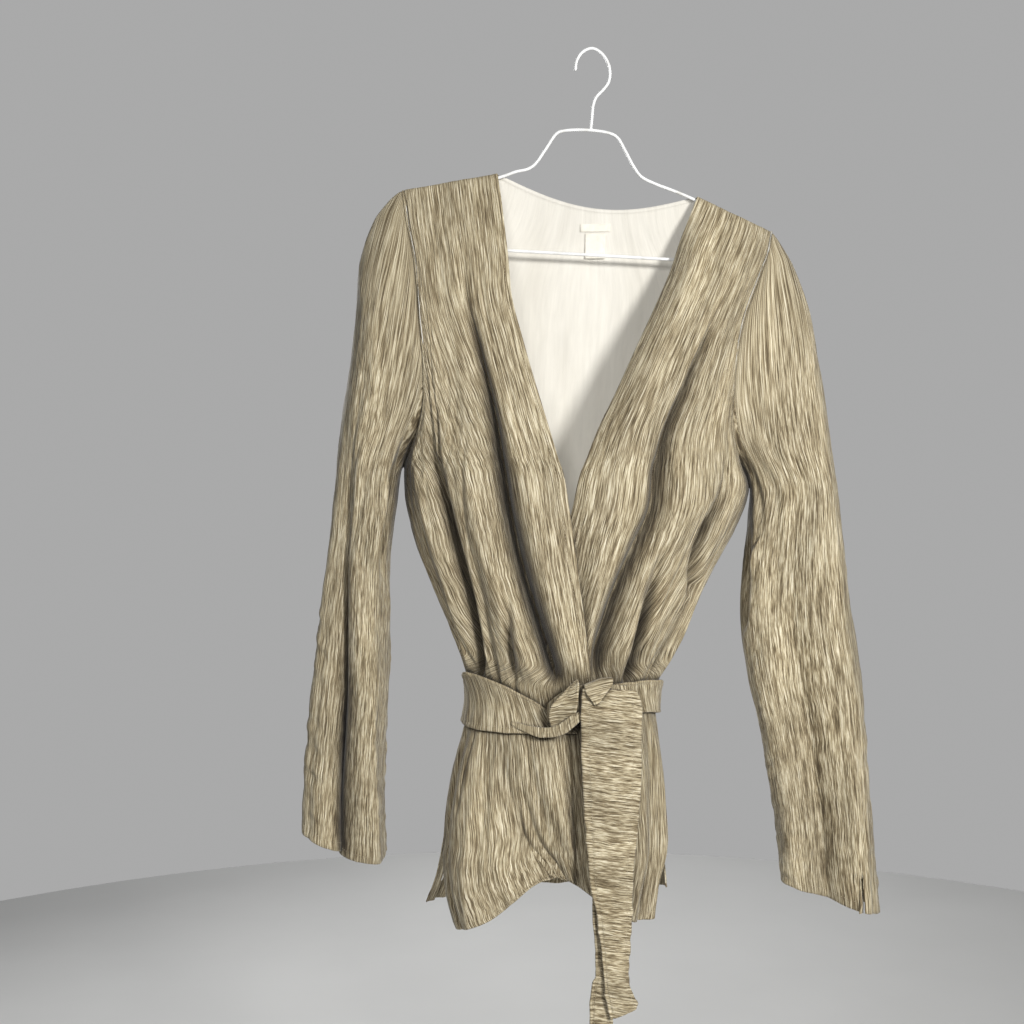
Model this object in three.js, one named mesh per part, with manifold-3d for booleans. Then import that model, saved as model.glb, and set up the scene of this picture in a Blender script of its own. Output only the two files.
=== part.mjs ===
// A woman's wrap cardigan with a tie belt, hanging on a thin wire hanger.
// Millimetres, +Z up, the front facing -Y, the wearer's left towards +X.
// The origin is the top of the inside of the hanger's hook, where a rail or peg holds it.
//
// Every panel is a wall of cloth. Its outer face is worked out from the body's sections, which run
// from the shoulder seam (section 0) by the armpit (8) and the waist (14) to the hem (20), and its
// folds push that face in or out along its normal.
import * as THREE from "three";
import Module from "manifold-3d";

const CLOTH = 1.6;
const BELT_CLOTH = 3;
const LABEL_CLOTH = 0.8;
const SEAM_GAP = 0.3;
const BELT_GAP = 1.1;
const WIRE_RADIUS = 1.5;
const WIRE_DROP = 4.1; // from the shoulder seam down to the wire that carries it
const HOOK_SHIFT = -4; // brings the hook's top, which stands off the neck's middle, to the origin

const ARMPIT = 8;
const WAIST = 14;
const VENT_TOP = 18;
const HEM = 20;
const SIDE_Y = 4; // depth of the side seams
const ELLIPSE_POWER = 0.92; // under 1 makes the sections a little squarer than ellipses
const SHOULDER_ROLL = 4; // how far the cloth bends round the wire below the shoulder seam
const UNDERLAP_GAP = 5; // from the outer face of the over panel to that of the under panel

// Sections with a vertex: the armhole's are also where the sleeve is sewn on.
const ARMHOLE_ROWS = [0, 0.05, 0.4, 1, 2, 3, 4, 5, 6, 7, 8];
const BODY_ROWS = [9, 10, 11, 12, 12.7, 13.35, 14, 14.65, 15.3, 16, 17, 18, 19, 20];
const PANEL_ROWS = [...ARMHOLE_ROWS, ...BODY_ROWS];
const FRONT_RIGHT_COLUMNS = 36;
const FRONT_LEFT_COLUMNS = 32;
const BACK_COLUMNS = 26;

const CREAM = 0xe6e0d2;
const MARL = 0x9c8f70;
const MARL_SHADE = 0x8f8265;
const WHITE_COATING = 0xe4e5e6;

const table = (columns, rows) => rows.map((row) => Object.fromEntries(columns.map((c, i) => [c, row[i]])));

// The side edge on the wearer's right: armhole down to the armpit, then side seam, then vent.
const SIDE_RIGHT = table(
  ["x", "z", "yFront", "yBack", "xBack", "zBack"],
  [
    [-176, -134, 0, 0, 0, 0],
    [-170, -170, -14, 12, -5, 0],
    [-163, -207, -26, 22, -10, 0],
    [-158, -249, -36, 30, -13, 0],
    [-154, -291, -42, 36, -16, 0],
    [-153, -330, -42, 37, -17, 0],
    [-159, -362, -33, 31, -13, 0],
    [-169, -386, -16, 18, -6, 0],
    [-175, -398, SIDE_Y, SIDE_Y, 0, 0],
    [-173, -432, SIDE_Y, SIDE_Y, 0, 0],
    [-163, -470, SIDE_Y, SIDE_Y, 0, 0],
    [-149, -508, SIDE_Y, SIDE_Y, 0, 0],
    [-134, -545, SIDE_Y, SIDE_Y, 0, 0],
    [-119, -582, SIDE_Y, SIDE_Y, 0, 0],
    [-112, -615, SIDE_Y, SIDE_Y, 0, 0],
    [-118, -646, SIDE_Y, SIDE_Y, 0, 0],
    [-129, -682, SIDE_Y, SIDE_Y, 0, 0],
    [-136, -720, SIDE_Y, SIDE_Y, 0, 0],
    [-139, -756, SIDE_Y, SIDE_Y, 0, 0],
    [-136, -786, -7, 11, -10, -3],
    [-128, -808, -20, 20, -28, -9],
  ],
);

const SIDE_LEFT = table(
  ["x", "z", "yFront", "yBack", "xBack", "zBack"],
  [
    [176, -174, 0, 0, 0, 0],
    [169, -199, -14, 12, 4, 0],
    [156, -229, -26, 22, 11, 0],
    [143, -261, -36, 29, 16, 0],
    [136, -293, -42, 34, 17, 0],
    [132, -328, -44, 36, 18, 0],
    [132, -360, -40, 31, 17, 0],
    [141, -392, -22, 18, 10, 0],
    [154, -417, SIDE_Y, SIDE_Y, 0, 0],
    [143, -450, SIDE_Y, SIDE_Y, 0, 0],
    [124, -486, SIDE_Y, SIDE_Y, 0, 0],
    [107, -520, SIDE_Y, SIDE_Y, 0, 0],
    [91, -554, SIDE_Y, SIDE_Y, 0, 0],
    [74, -585, SIDE_Y, SIDE_Y, 0, 0],
    [65, -615, SIDE_Y, SIDE_Y, 0, 0],
    [67, -645, SIDE_Y, SIDE_Y, 0, 0],
    [71, -682, SIDE_Y, SIDE_Y, 0, 0],
    [72, -720, SIDE_Y, SIDE_Y, 0, 0],
    [72, -756, SIDE_Y, SIDE_Y, 0, 0],
    [63, -785, -14, 10, 13, 3],
    [57, -812, -30, 16, 21, 10],
  ],
);

// The middle of each section: how far the front and back stand out, how far the middle hangs
// below the sides, and the free front edges. Their heights count down to the armpit only.
const MIDDLE = table(
  ["front", "back", "sag", "xRight", "zRight", "xLeft", "zLeft"],
  [
    [0, 0, 0, -86, -118, 105, -140],
    [17, 14, 0, -81, -158, 90, -178],
    [30, 20, 0, -76, -201, 78, -215],
    [40, 26, 0, -72, -244, 62, -252],
    [48, 31, 0, -61, -287, 44, -290],
    [55, 35, 0, -49, -329, 26, -328],
    [60, 38, 0, -37, -369, 7, -366],
    [64, 40, 0, -28, -402, -7, -402],
    [67, 41, 29, -21, -436, -17, -436],
    [69, 42, 27, -16, -468, -25, -468],
    [70, 42, 22, -12, -500, -31, -500],
    [69, 42, 17, -8, -531, -37, -531],
    [67, 42, 11, -4, -560, -42, -560],
    [63, 41, 5, 0, -588, -46, -588],
    [56, 39, 0, 4, -615, -50, -615],
    [62, 43, 0, 10, -645, -53, -645],
    [70, 49, 0, 16, -680, -56, -680],
    [74, 54, 0, 20, -715, -58, -715],
    [77, 57, 0, 23, -745, -59, -745],
    [79, 59, 0, 25, -768, -60, -768],
    [80, 60, 0, 26, -787, -60, -787],
  ],
);

// How far the fronts' hem rises between the side seams, at equal steps across.
const HEM_RISE = table(["rise"], [[-15], [-7], [3], [20], [36], [39], [36], [27], [13], [2], [0]]);
const HEM_RISE_FROM = 15;

const BACK_NECK = { fromX: -86, toX: 105, fromZ: -118, toZ: -140, drop: 21, depth: 17 };

// Folds: where each lies across its panel at its upper and lower end (0 at the side seam, 1 at
// the free edge; on the back from the wearer's right to left), from which section to which,
// how far it stands out (a valley is below 0), its half-width, and how far it bends away from
// the straight way between its ends (none where it isn't given).
const FOLD_COLUMNS = ["upper", "lower", "from", "to", "height", "width", "bend"];
const FRONT_RIGHT_FOLDS = table(FOLD_COLUMNS, [
  [0.69, 0.83, 0.8, 14.2, -19, 0.045],
  [0.56, 0.7, 1.5, 14.2, 5, 0.055],
  [0.84, 0.92, 1.5, 13.8, 5, 0.055],
  [0, 0.2, 3.6, 14.2, -14, 0.036, 0.38],
  [0, 0.1, 5, 14.2, 5, 0.045, 0.3],
  [0.04, 0.06, 9, 14.2, -5, 0.03],
  [0.74, 0.58, 9.6, 14.2, -7, 0.028],
  [0.62, 0.47, 9, 14.2, -5, 0.026],
  [0.3, 0.27, 11, 14.2, -4, 0.024],
  [0.12, 0.14, 11, 14.2, -4, 0.024],
  [0.06, 0.05, 13.8, 21, -5, 0.035],
  [0.16, 0.12, 13.8, 21, -6, 0.04],
  [0.3, 0.34, 13.8, 23, 13, 0.12],
  [0.36, 0.4, 13.8, 19, -5, 0.03, 0.04],
  [0.48, 0.72, 13.8, 24, -20, 0.12, 0.1],
  [0.6, 0.84, 13.8, 22, -5, 0.035, 0.04],
  [0.8, 0.86, 13.8, 20, -4, 0.03],
]);
const FRONT_LEFT_FOLDS = table(FOLD_COLUMNS, [
  [0.45, 0.72, 1, 14.2, -14, 0.045, 0.13],
  [0.34, 0.6, 2.5, 13.4, 5, 0.05, 0.12],
  [0.15, 0.22, 6.4, 11, -12, 0.05, 0.25],
  [0.66, 0.52, 8.5, 14.2, -11, 0.036],
  [0.3, 0.34, 9.5, 14.2, -6, 0.03],
  [0.1, 0.1, 9.5, 14.2, -7, 0.035],
  [0.19, 0.2, 10, 14.2, 5, 0.035],
  [0.9, 0.79, 10.5, 14.2, -5, 0.02],
  [0.06, 0.05, 13.8, 21, -5, 0.035],
  [0.17, 0.14, 13.8, 22, 5, 0.05],
  [0.3, 0.26, 13.8, 22, -7, 0.045],
  [0.42, 0.42, 13.8, 23, 6, 0.05],
]);
const BACK_FOLDS = table(FOLD_COLUMNS, [
  [0.09, 0.07, 9, 14.2, -6, 0.022],
  [0.15, 0.14, 7, 14.2, -7, 0.024],
  [0.26, 0.22, 4, 14.2, -8, 0.028],
  [0.31, 0.29, 8.5, 14.2, -6, 0.02],
  [0.38, 0.37, 6, 14.2, -7, 0.024],
  [0.45, 0.45, 9, 14.2, -6, 0.02],
  [0.54, 0.53, 5, 14.2, -7, 0.024],
  [0.6, 0.61, 8, 14.2, -6, 0.02],
  [0.68, 0.69, 4.5, 14.2, -8, 0.026],
  [0.77, 0.78, 8, 14.2, -6, 0.022],
  [0.84, 0.86, 6.5, 14.2, -7, 0.024],
  [0.92, 0.93, 9, 14.2, -6, 0.022],
  [0.07, 0.05, 13.8, 22, -6, 0.03],
  [0.17, 0.14, 13.8, 22, -8, 0.035],
  [0.28, 0.25, 13.8, 22, -7, 0.03],
  [0.4, 0.37, 13.8, 23, -9, 0.04],
  [0.52, 0.53, 13.8, 22, -7, 0.03],
  [0.63, 0.66, 13.8, 23, -9, 0.035],
  [0.74, 0.78, 13.8, 22, -7, 0.03],
  [0.86, 0.89, 13.8, 22, -8, 0.035],
]);

// Sleeve sections by height: the outer and inner edge seen from the front, and the depths.
const SLEEVE_COLUMNS = ["z", "out", "in", "front", "back"];
const SLEEVE_RIGHT = table(SLEEVE_COLUMNS, [
  [-134, -176, -176, -1, 1],
  [-140, -190, -173, -10, 10],
  [-152, -201, -171, -18, 17],
  [-170, -211, -169, -25, 23],
  [-205, -217, -163, -34, 30],
  [-250, -220, -158, -41, 36],
  [-300, -225, -154, -45, 39],
  [-350, -233, -159, -46, 39],
  [-398, -238, -178, -46, 37],
  [-440, -242, -182, -46, 35],
  [-480, -246, -188, -46, 33],
  [-540, -253, -188, -47, 30],
  [-600, -259, -189, -49, 26],
  [-660, -265, -192, -51, 22],
  [-710, -268, -193, -54, 18],
  [-765, -270, -192, -58, 14],
]);
const SLEEVE_LEFT = table(SLEEVE_COLUMNS, [
  [-174, 176, 176, -1, 1],
  [-180, 182, 171, -8, 8],
  [-191, 189, 165, -15, 14],
  [-214, 201, 158, -26, 22],
  [-248, 210, 146, -36, 28],
  [-286, 217, 137, -41, 32],
  [-333, 224, 132, -43, 34],
  [-381, 231, 139, -41, 33],
  [-417, 237, 157, -38, 30],
  [-450, 241, 153, -36, 28],
  [-490, 245, 148, -34, 26],
  [-540, 251, 146, -32, 24],
  [-600, 260, 153, -30, 22],
  [-640, 264, 163, -29, 21],
  [-680, 267, 170, -28, 20],
  [-720, 270, 177, -28, 20],
  [-765, 273, 182, -28, 20],
  [-820, 276, 187, -29, 20],
]);
const SLEEVE_HEM = { right: { z: -747.5, front: 6, inner: 15.5 }, left: { z: -804, front: 2, inner: -14 } };
const SLEEVE_BLEND = 75; // length over which the sleeve head eases from the armhole to its tube
const ARMHOLE_SPREAD = 0.8; // under 1 gives the top of the armhole a larger share of the sleeve
const SLEEVE_AROUND = 2; // columns of the sleeve for each interval of the armhole
const SLEEVE_ROWS = [0, 0.03, 0.07, 0.12, 0.18, 0.26, 0.34, 0.42, 0.5, 0.58, 0.66, 0.74, 0.84, 0.93, 0.965, 1];

// Sleeve folds: their angle round the sleeve at the upper and lower end (0 towards the body,
// 90 at the front, 180 outside), the shares of the length they run over, height and half-width.
const SLEEVE_RIGHT_FOLDS = table(FOLD_COLUMNS, [
  [128, 45, 0.16, 1.6, -27, 21],
  [62, 30, 0.26, 1.6, 8, 18],
  [24, 40, 0.02, 0.34, -8, 13],
  [48, 60, 0.03, 0.4, 7, 14],
  [152, 146, 0.3, 1.2, 4, 16],
  [250, 262, 0.15, 1.3, -9, 16],
  [300, 292, 0.02, 0.6, -7, 14],
  [216, 222, 0.3, 1.2, -5, 12],
]);
const SLEEVE_LEFT_FOLDS = table(FOLD_COLUMNS, [
  [62, 74, 0.02, 1.5, -14, 23],
  [122, 120, 0.14, 1.3, 8, 22],
  [26, 34, 0.02, 0.3, 6, 12],
  [10, 14, 0.04, 0.4, -7, 10],
  [140, 138, 0.82, 1.25, -4, 8],
  [270, 262, 0.1, 1.3, -8, 20],
  [320, 312, 0.02, 0.5, -6, 13],
  [222, 226, 0.4, 1.3, -5, 13],
]);

// The slit in the left cuff: the armhole section it is in line with, the share of the sleeve's
// length it starts at, and how far its edges gape at the hem.
const CUFF_SLIT = { armholeRow: 2, from: 0.93, gape: 6 };

// Place between a table's rows on a smooth curve through them.
function at(rows, column, place) {
  const last = rows.length - 1;
  const t = Math.min(Math.max(place, 0), last);
  const i = Math.min(Math.floor(t), last - 1);
  const f = t - i;
  const value = (k) => rows[Math.min(Math.max(k, 0), last)][column];
  const [a, b, c, d] = [value(i - 1), value(i), value(i + 1), value(i + 2)];
  return b + 0.5 * f * (c - a + f * (2 * a - 5 * b + 4 * c - d + f * (3 * (b - c) + d - a)));
}

// The place in a table whose first column falls, where that column has a given value.
function placeOf(rows, column, value) {
  for (let i = 1; i < rows.length; i++)
    if (rows[i][column] <= value)
      return i - 1 + (rows[i - 1][column] - value) / (rows[i - 1][column] - rows[i][column]);
  return rows.length - 1;
}

const mix = (a, b, share) => a + (b - a) * share;
const clamp01 = (x) => Math.min(Math.max(x, 0), 1);
const smooth = (x) => clamp01(x) ** 2 * (3 - 2 * clamp01(x));
const signedPower = (x, power) => Math.sign(x) * Math.abs(x) ** power;
const bump = (distance, width) => Math.exp(-((distance / width) ** 2));

// The part of a fold's height that stands at a place along it: it grows and dies away smoothly.
function foldShare(fold, place) {
  const span = fold.to - fold.from;
  const t = (place - fold.from) / span;
  return t <= 0 || t >= 1 ? 0 : smooth(Math.min(t / 0.55, (1 - t) / 0.12));
}

function foldHeight(folds, across, place, spread = 1) {
  let height = 0;
  for (const fold of folds) {
    const share = foldShare(fold, place);
    if (share > 0) {
      const t = (place - fold.from) / (fold.to - fold.from);
      const middle = mix(fold.upper, fold.lower, smooth(t)) + (fold.bend ?? 0) * 4 * t * (1 - t);
      height += fold.height * share * bump(across - middle, fold.width * spread);
    }
  }
  return height;
}

// The belt presses the folds nearly flat at the waist.
function pressed(row) {
  return mix(0.2, 1, smooth((Math.abs(row - WAIST) - 0.45) / 0.9));
}

function bodyFolds(folds, across, row) {
  return foldHeight(folds, across, row) * pressed(row);
}

// What the over panel's folds leave to the panel beneath: its valleys only, and wider ones.
const VALLEY_SPREAD = 1.5;
const OVER_VALLEYS = FRONT_RIGHT_FOLDS.filter((fold) => fold.height < 0);
function beneathFolds(across, row) {
  return foldHeight(OVER_VALLEYS, across, row, VALLEY_SPREAD) * pressed(row) - UNDERLAP_GAP;
}

// One section of the body: its sides, its middle and its half-width.
function section(row, back) {
  const right = at(SIDE_RIGHT, "x", row) + (back ? at(SIDE_RIGHT, "xBack", row) : 0);
  const left = at(SIDE_LEFT, "x", row) + (back ? at(SIDE_LEFT, "xBack", row) : 0);
  return { right, left, middle: (right + left) / 2, half: (left - right) / 2 };
}

const edgeAngle = (x, s) => Math.acos(signedPower((x - s.middle) / s.half, 1 / ELLIPSE_POWER));

function roll(row) {
  return SHOULDER_ROLL * Math.sqrt(1 - Math.exp(-20 * row)) * (1 - smooth((row - 4) / 4));
}

// Outer face of the front at an angle round the section (180 at the wearer's right side, 0 at
// the left), pushed out by a fold.
function frontFace(angle, row, side, out) {
  const s = section(row, false);
  const cos = signedPower(Math.cos(angle), ELLIPSE_POWER);
  const sin = Math.abs(Math.sin(angle)) ** ELLIPSE_POWER;
  const x = s.middle + s.half * cos;
  const own = side === "right" ? SIDE_RIGHT : SIDE_LEFT;
  const ySide = at(own, "yFront", row);
  const y = ySide * (1 - sin) - at(MIDDLE, "front", row) * sin - roll(row);
  const share = (x - s.right) / (s.left - s.right);
  const level =
    mix(at(SIDE_RIGHT, "z", row), at(SIDE_LEFT, "z", row), share) - at(MIDDLE, "sag", row) * 4 * share * (1 - share);
  const freeX = at(MIDDLE, side === "right" ? "xRight" : "xLeft", row);
  const freeZ = at(MIDDLE, side === "right" ? "zRight" : "zLeft", row);
  const sideX = side === "right" ? s.right : s.left;
  const sloping = mix(at(own, "z", row), freeZ, (x - sideX) / (freeX - sideX));
  const rise = at(HEM_RISE, "rise", 10 * share) * clamp01((row - HEM_RISE_FROM) / (HEM - HEM_RISE_FROM)) ** 1.6;
  const z = mix(sloping, level, smooth((row - ARMPIT + 1.5) / 1.5)) + rise;
  const depth = Math.max(at(MIDDLE, "front", row) + SIDE_Y, 8);
  const normal = new THREE.Vector2(cos / s.half, -sin / depth).normalize();
  return new THREE.Vector3(x + normal.x * out, y + normal.y * out, z);
}

function frontRight(across, row) {
  const inner = edgeAngle(at(MIDDLE, "xRight", row), section(row, false));
  const out = bodyFolds(FRONT_RIGHT_FOLDS, across, row);
  return frontFace(mix(Math.PI, inner, across), row, "right", out);
}

// The under panel: beneath the over panel it follows that panel's folds, a gap further in, and
// above the crossing its free edge rolls back.
const NECK_ROLL = { from: 0.86, depth: 16 };
function frontLeft(across, row) {
  const s = section(row, false);
  const inner = edgeAngle(at(MIDDLE, "xLeft", row), s);
  const angle = inner * across;
  const overEdge = edgeAngle(at(MIDDLE, "xRight", row), s);
  const under = row < 6 ? 0 : smooth((angle - overEdge + 0.2) / 0.2) * smooth((row - 6) / 1.5);
  const overAcross = clamp01((Math.PI - angle) / (Math.PI - overEdge));
  const over = beneathFolds(overAcross, row);
  const own = bodyFolds(FRONT_LEFT_FOLDS, across, row);
  const rolled = smooth((across - NECK_ROLL.from) / (1 - NECK_ROLL.from)) * smooth(row / 1.5) * smooth((9 - row) / 3);
  return frontFace(angle, row, "left", mix(own, over, under) - NECK_ROLL.depth * rolled);
}

function backTop(x) {
  const n = BACK_NECK;
  const share = clamp01((x - n.fromX) / (n.toX - n.fromX));
  const arch = Math.sin(Math.PI * share);
  const z =
    x < n.fromX
      ? mix(at(SIDE_RIGHT, "z", 0), n.fromZ, (x - at(SIDE_RIGHT, "x", 0)) / (n.fromX - at(SIDE_RIGHT, "x", 0)))
      : x > n.toX
        ? mix(n.toZ, at(SIDE_LEFT, "z", 0), (x - n.toX) / (at(SIDE_LEFT, "x", 0) - n.toX))
        : mix(n.fromZ, n.toZ, share) - n.drop * arch;
  return { y: n.depth * Math.sqrt(arch), z };
}

// Outer face of the back, across from the wearer's right (0) to left (1).
function back(across, row) {
  const s = section(row, true);
  const angle = Math.PI * (1 - across);
  const curved = smooth(row / 3);
  const cos = mix(2 * across - 1, signedPower(Math.cos(angle), ELLIPSE_POWER), curved);
  const sin = Math.sin(angle) ** ELLIPSE_POWER;
  const x = s.middle + s.half * cos;
  const share = (cos + 1) / 2;
  const ySide = mix(at(SIDE_RIGHT, "yBack", row), at(SIDE_LEFT, "yBack", row), share);
  const hanging = ySide * (1 - sin) + at(MIDDLE, "back", row) * sin;
  const top = backTop(s.middle + s.half * cos);
  const atTop = clamp01(1 - row / ARMPIT) ** 2;
  const y = mix(hanging, top.y, row < 1e-9 ? 1 : atTop * 0.5 * smooth((3 - row) / 3)) + roll(row) + SEAM_GAP;
  const level = mix(
    at(SIDE_RIGHT, "z", row) + at(SIDE_RIGHT, "zBack", row),
    at(SIDE_LEFT, "z", row) + at(SIDE_LEFT, "zBack", row),
    share,
  );
  const topLevel = mix(at(SIDE_RIGHT, "z", 0), at(SIDE_LEFT, "z", 0), share);
  const z = level + (top.z - topLevel) * atTop;
  const out = bodyFolds(BACK_FOLDS, across, row);
  const depth = at(MIDDLE, "back", row) + SIDE_Y;
  const normal = new THREE.Vector2(cos / s.half, sin / depth).normalize();
  return new THREE.Vector3(x + normal.x * out, y + normal.y * out, z);
}

// A wall of cloth from a grid of outer points. The faces look along the cross product of the
// grid's down and across directions, or against it where flip is set. Below slit.row the wall is
// cut open along slit.column.
function wall(rows, columns, point, { thickness = CLOTH, flip = false, closed = false, slit = null, edge = null } = {}) {
  const count = closed ? columns : columns + 1;
  const points = [];
  const index = (j, i) => j * count + (closed ? i % count : i);
  for (let j = 0; j <= rows; j++) for (let i = 0; i < count; i++) points.push(point(j, i));
  const quads = [];
  const doubled = new Map();
  const slitCopy = (j) => {
    if (!doubled.has(j)) {
      doubled.set(j, points.length);
      points.push(slit.copy(j, points[index(j, slit.column)]));
    }
    return doubled.get(j);
  };
  const corner = (j, i, cell) =>
    slit && i % count === slit.column && cell === slit.column && j > slit.row ? slitCopy(j) : index(j, i);
  for (let j = 0; j < rows; j++)
    for (let i = 0; i < columns; i++)
      quads.push([corner(j, i, i), corner(j + 1, i, i), corner(j + 1, i + 1, i), corner(j, i + 1, i)]);
  if (flip) quads.forEach((q) => q.reverse());
  const normals = points.map(() => new THREE.Vector3());
  const across = new THREE.Vector3();
  const down = new THREE.Vector3();
  for (const q of quads) {
    across.subVectors(points[q[2]], points[q[0]]);
    down.subVectors(points[q[3]], points[q[1]]);
    const n = new THREE.Vector3().crossVectors(across, down);
    q.forEach((k) => normals[k].add(n));
  }
  normals.forEach((n, k) => {
    n.normalize();
    const own = edge && edge(k, points[k], count);
    if (own) n.copy(own).normalize();
  });
  const inner = points.map((p, k) => p.clone().addScaledVector(normals[k], -thickness));
  const offset = points.length;
  const triangles = [];
  const face = (a, b, c, d) => triangles.push(a, b, c, a, c, d);
  const edges = new Map();
  for (const [a, b, c, d] of quads) {
    face(a, b, c, d);
    face(offset + a, offset + d, offset + c, offset + b);
    for (const [m, n] of [[a, b], [b, c], [c, d], [d, a]]) edges.set(m + "," + n, [m, n]);
  }
  for (const [m, n] of edges.values()) if (!edges.has(n + "," + m)) face(n, m, offset + m, offset + n);
  return solid([...points, ...inner], triangles);
}

function solid(points, triangles) {
  const geometry = new THREE.BufferGeometry();
  const position = new Float32Array(points.flatMap((p) => [p.x, p.y, p.z]));
  geometry.setAttribute("position", new THREE.BufferAttribute(position, 3));
  geometry.setIndex(triangles);
  geometry.computeVertexNormals();
  return geometry;
}

// The direction across the seam's end faces, shared by the two pieces sewn there: out from the
// armhole's middle, turning sideways below the armpit.
function seamNormal(point, rows, sideways) {
  const middle = (rows[0].z + rows[ARMPIT].z) / 2;
  return new THREE.Vector3(sideways, point.y, point.z - middle);
}

function panelEdge(outerColumn, sides, sideways) {
  return (k, point, count) => {
    const row = PANEL_ROWS[Math.floor(k / count)];
    if (row === 0) return new THREE.Vector3(0, 0, 1);
    if (k % count !== outerColumn || row > VENT_TOP) return null;
    if (row > ARMPIT) return new THREE.Vector3(sideways, 0, 0);
    return seamNormal(point, sides, row === ARMPIT ? sideways : sideways * 0.15);
  };
}

const panelRows = PANEL_ROWS.length - 1;

function frontRightPanel() {
  const point = (j, i) => frontRight(i / FRONT_RIGHT_COLUMNS, PANEL_ROWS[j]);
  return wall(panelRows, FRONT_RIGHT_COLUMNS, point, { edge: panelEdge(0, SIDE_RIGHT, -100) });
}

function frontLeftPanel() {
  const point = (j, i) => frontLeft(1 - i / FRONT_LEFT_COLUMNS, PANEL_ROWS[j]);
  return wall(panelRows, FRONT_LEFT_COLUMNS, point, { edge: panelEdge(FRONT_LEFT_COLUMNS, SIDE_LEFT, 100) });
}

function backPanel() {
  const point = (j, i) => back(i / BACK_COLUMNS, PANEL_ROWS[j]);
  const rightEdge = panelEdge(0, SIDE_RIGHT, -100);
  const leftEdge = panelEdge(BACK_COLUMNS, SIDE_LEFT, 100);
  const edge = (k, p, count) => rightEdge(k, p, count) || leftEdge(k, p, count);
  return wall(panelRows, BACK_COLUMNS, point, { flip: true, edge });
}

// A sleeve. Its columns go round from the top of the armhole down the front to the armpit and
// up the back; its rows go from the armhole to the cuff.
function sleeve(name) {
  const right = name === "right";
  const outward = right ? -1 : 1;
  const sections = right ? SLEEVE_RIGHT : SLEEVE_LEFT;
  const folds = right ? SLEEVE_RIGHT_FOLDS : SLEEVE_LEFT_FOLDS;
  const hem = SLEEVE_HEM[name];
  const front = right ? (row) => frontRight(0, row) : (row) => frontLeft(0, row);
  const rear = right ? (row) => back(0, row) : (row) => back(1, row);
  const intervals = ARMHOLE_ROWS.length - 1;
  const perSide = intervals * SLEEVE_AROUND;
  const columns = 2 * perSide;
  const armpit = front(ARMPIT);

  const armholePlace = (i) => {
    const atFront = i <= perSide;
    const step = (atFront ? i : columns - i) / SLEEVE_AROUND;
    const k = Math.min(Math.floor(step), intervals - 1);
    return { atFront, k, share: step - k, row: mix(ARMHOLE_ROWS[k], ARMHOLE_ROWS[k + 1], step - k) };
  };

  const point = (j, i) => {
    const { atFront, k, share, row } = armholePlace(i);
    const edge = atFront ? front : rear;
    const start = edge(ARMHOLE_ROWS[k]).lerp(edge(ARMHOLE_ROWS[k + 1]), share);
    start.x += outward * mix(SEAM_GAP + 0.2, 2, smooth(row - ARMPIT + 1));
    start.z -= 0.6 * smooth(row - ARMPIT + 1);
    const turn = 180 * (row / ARMPIT) ** ARMHOLE_SPREAD;
    const angle = atFront ? 180 - turn : 180 + turn;
    const cos = Math.cos((angle * Math.PI) / 180);
    const sin = Math.sin((angle * Math.PI) / 180);
    const end = hem.z - hem.front * sin - hem.inner * cos;
    const t = SLEEVE_ROWS[j];
    const z = mix(start.z, end, t);
    const place = placeOf(sections, "z", z);
    const out = at(sections, "out", place);
    const inn = at(sections, "in", place);
    const depth = sin > 0 ? -at(sections, "front", place) : at(sections, "back", place);
    const height = foldHeight(folds, angle, t) * smooth((start.z - z) / 30);
    const half = Math.abs(out - inn) / 2;
    const normal = new THREE.Vector2((-cos * outward) / Math.max(half, 1), -sin / Math.max(depth, 1)).normalize();
    const tube = new THREE.Vector3(
      mix(inn, out, (1 - signedPower(cos, 0.9)) / 2) + normal.x * height,
      -depth * signedPower(sin, 0.9) + normal.y * height,
      z,
    );
    // Beside the armhole the sleeve stays outside the panels.
    const beside = smooth((z - armpit.z + 30) / 30);
    const short = Math.max((start.x - tube.x) * outward + 1, 0);
    tube.x += outward * short * beside;
    const eased = 1 - (1 - clamp01((start.z - z) / SLEEVE_BLEND)) ** 2;
    return start.lerp(tube, j === 0 ? 0 : eased);
  };

  const edge = (k, p, count) => (Math.floor(k / count) === 0 ? seamNormal(p, right ? SIDE_RIGHT : SIDE_LEFT, outward * 15) : null);
  const slit = {
    column: SLEEVE_AROUND * ARMHOLE_ROWS.indexOf(CUFF_SLIT.armholeRow),
    row: SLEEVE_ROWS.indexOf(CUFF_SLIT.from),
    copy: (j, p) => {
      const share = (SLEEVE_ROWS[j] - CUFF_SLIT.from) / (1 - CUFF_SLIT.from);
      return new THREE.Vector3(p.x - CUFF_SLIT.gape * share, p.y - 1.5 * share, p.z);
    },
  };
  const options = { closed: true, flip: !right, edge, slit: right ? null : slit };
  return wall(SLEEVE_ROWS.length - 1, columns, point, options);
}

// The belt round the waist, from the knot by the wearer's right side and the back to the knot:
// degrees of turn (180 and 360 at the sides), and the sections where its edges lie.
const BELT = table(
  ["turn", "top", "bottom"],
  [
    [84, 14.5, 14.8],
    [96, 14.25, 14.78],
    [110, 13.8, 14.82],
    [130, 13.35, 14.82],
    [155, 13.2, 14.8],
    [180, 13.4, 14.75],
    [225, 13.3, 14.8],
    [270, 13.2, 14.8],
    [315, 13.25, 14.75],
    [350, 13.6, 14.6],
    [362, 13.7, 14.5],
    [382, 13.4, 14.4],
    [405, 13.3, 14.3],
    [425, 13.3, 14.3],
  ],
);
const BELT_COLUMNS = 54;
const BELT_ROWS = 3;

// Ridges only, and a little to each side of them: the belt spans the valleys.
function crests(folds, across, row) {
  let height = 0;
  for (const step of [-0.03, 0, 0.03]) height = Math.max(height, foldHeight(folds, across + step, row));
  return height * pressed(row);
}

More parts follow.
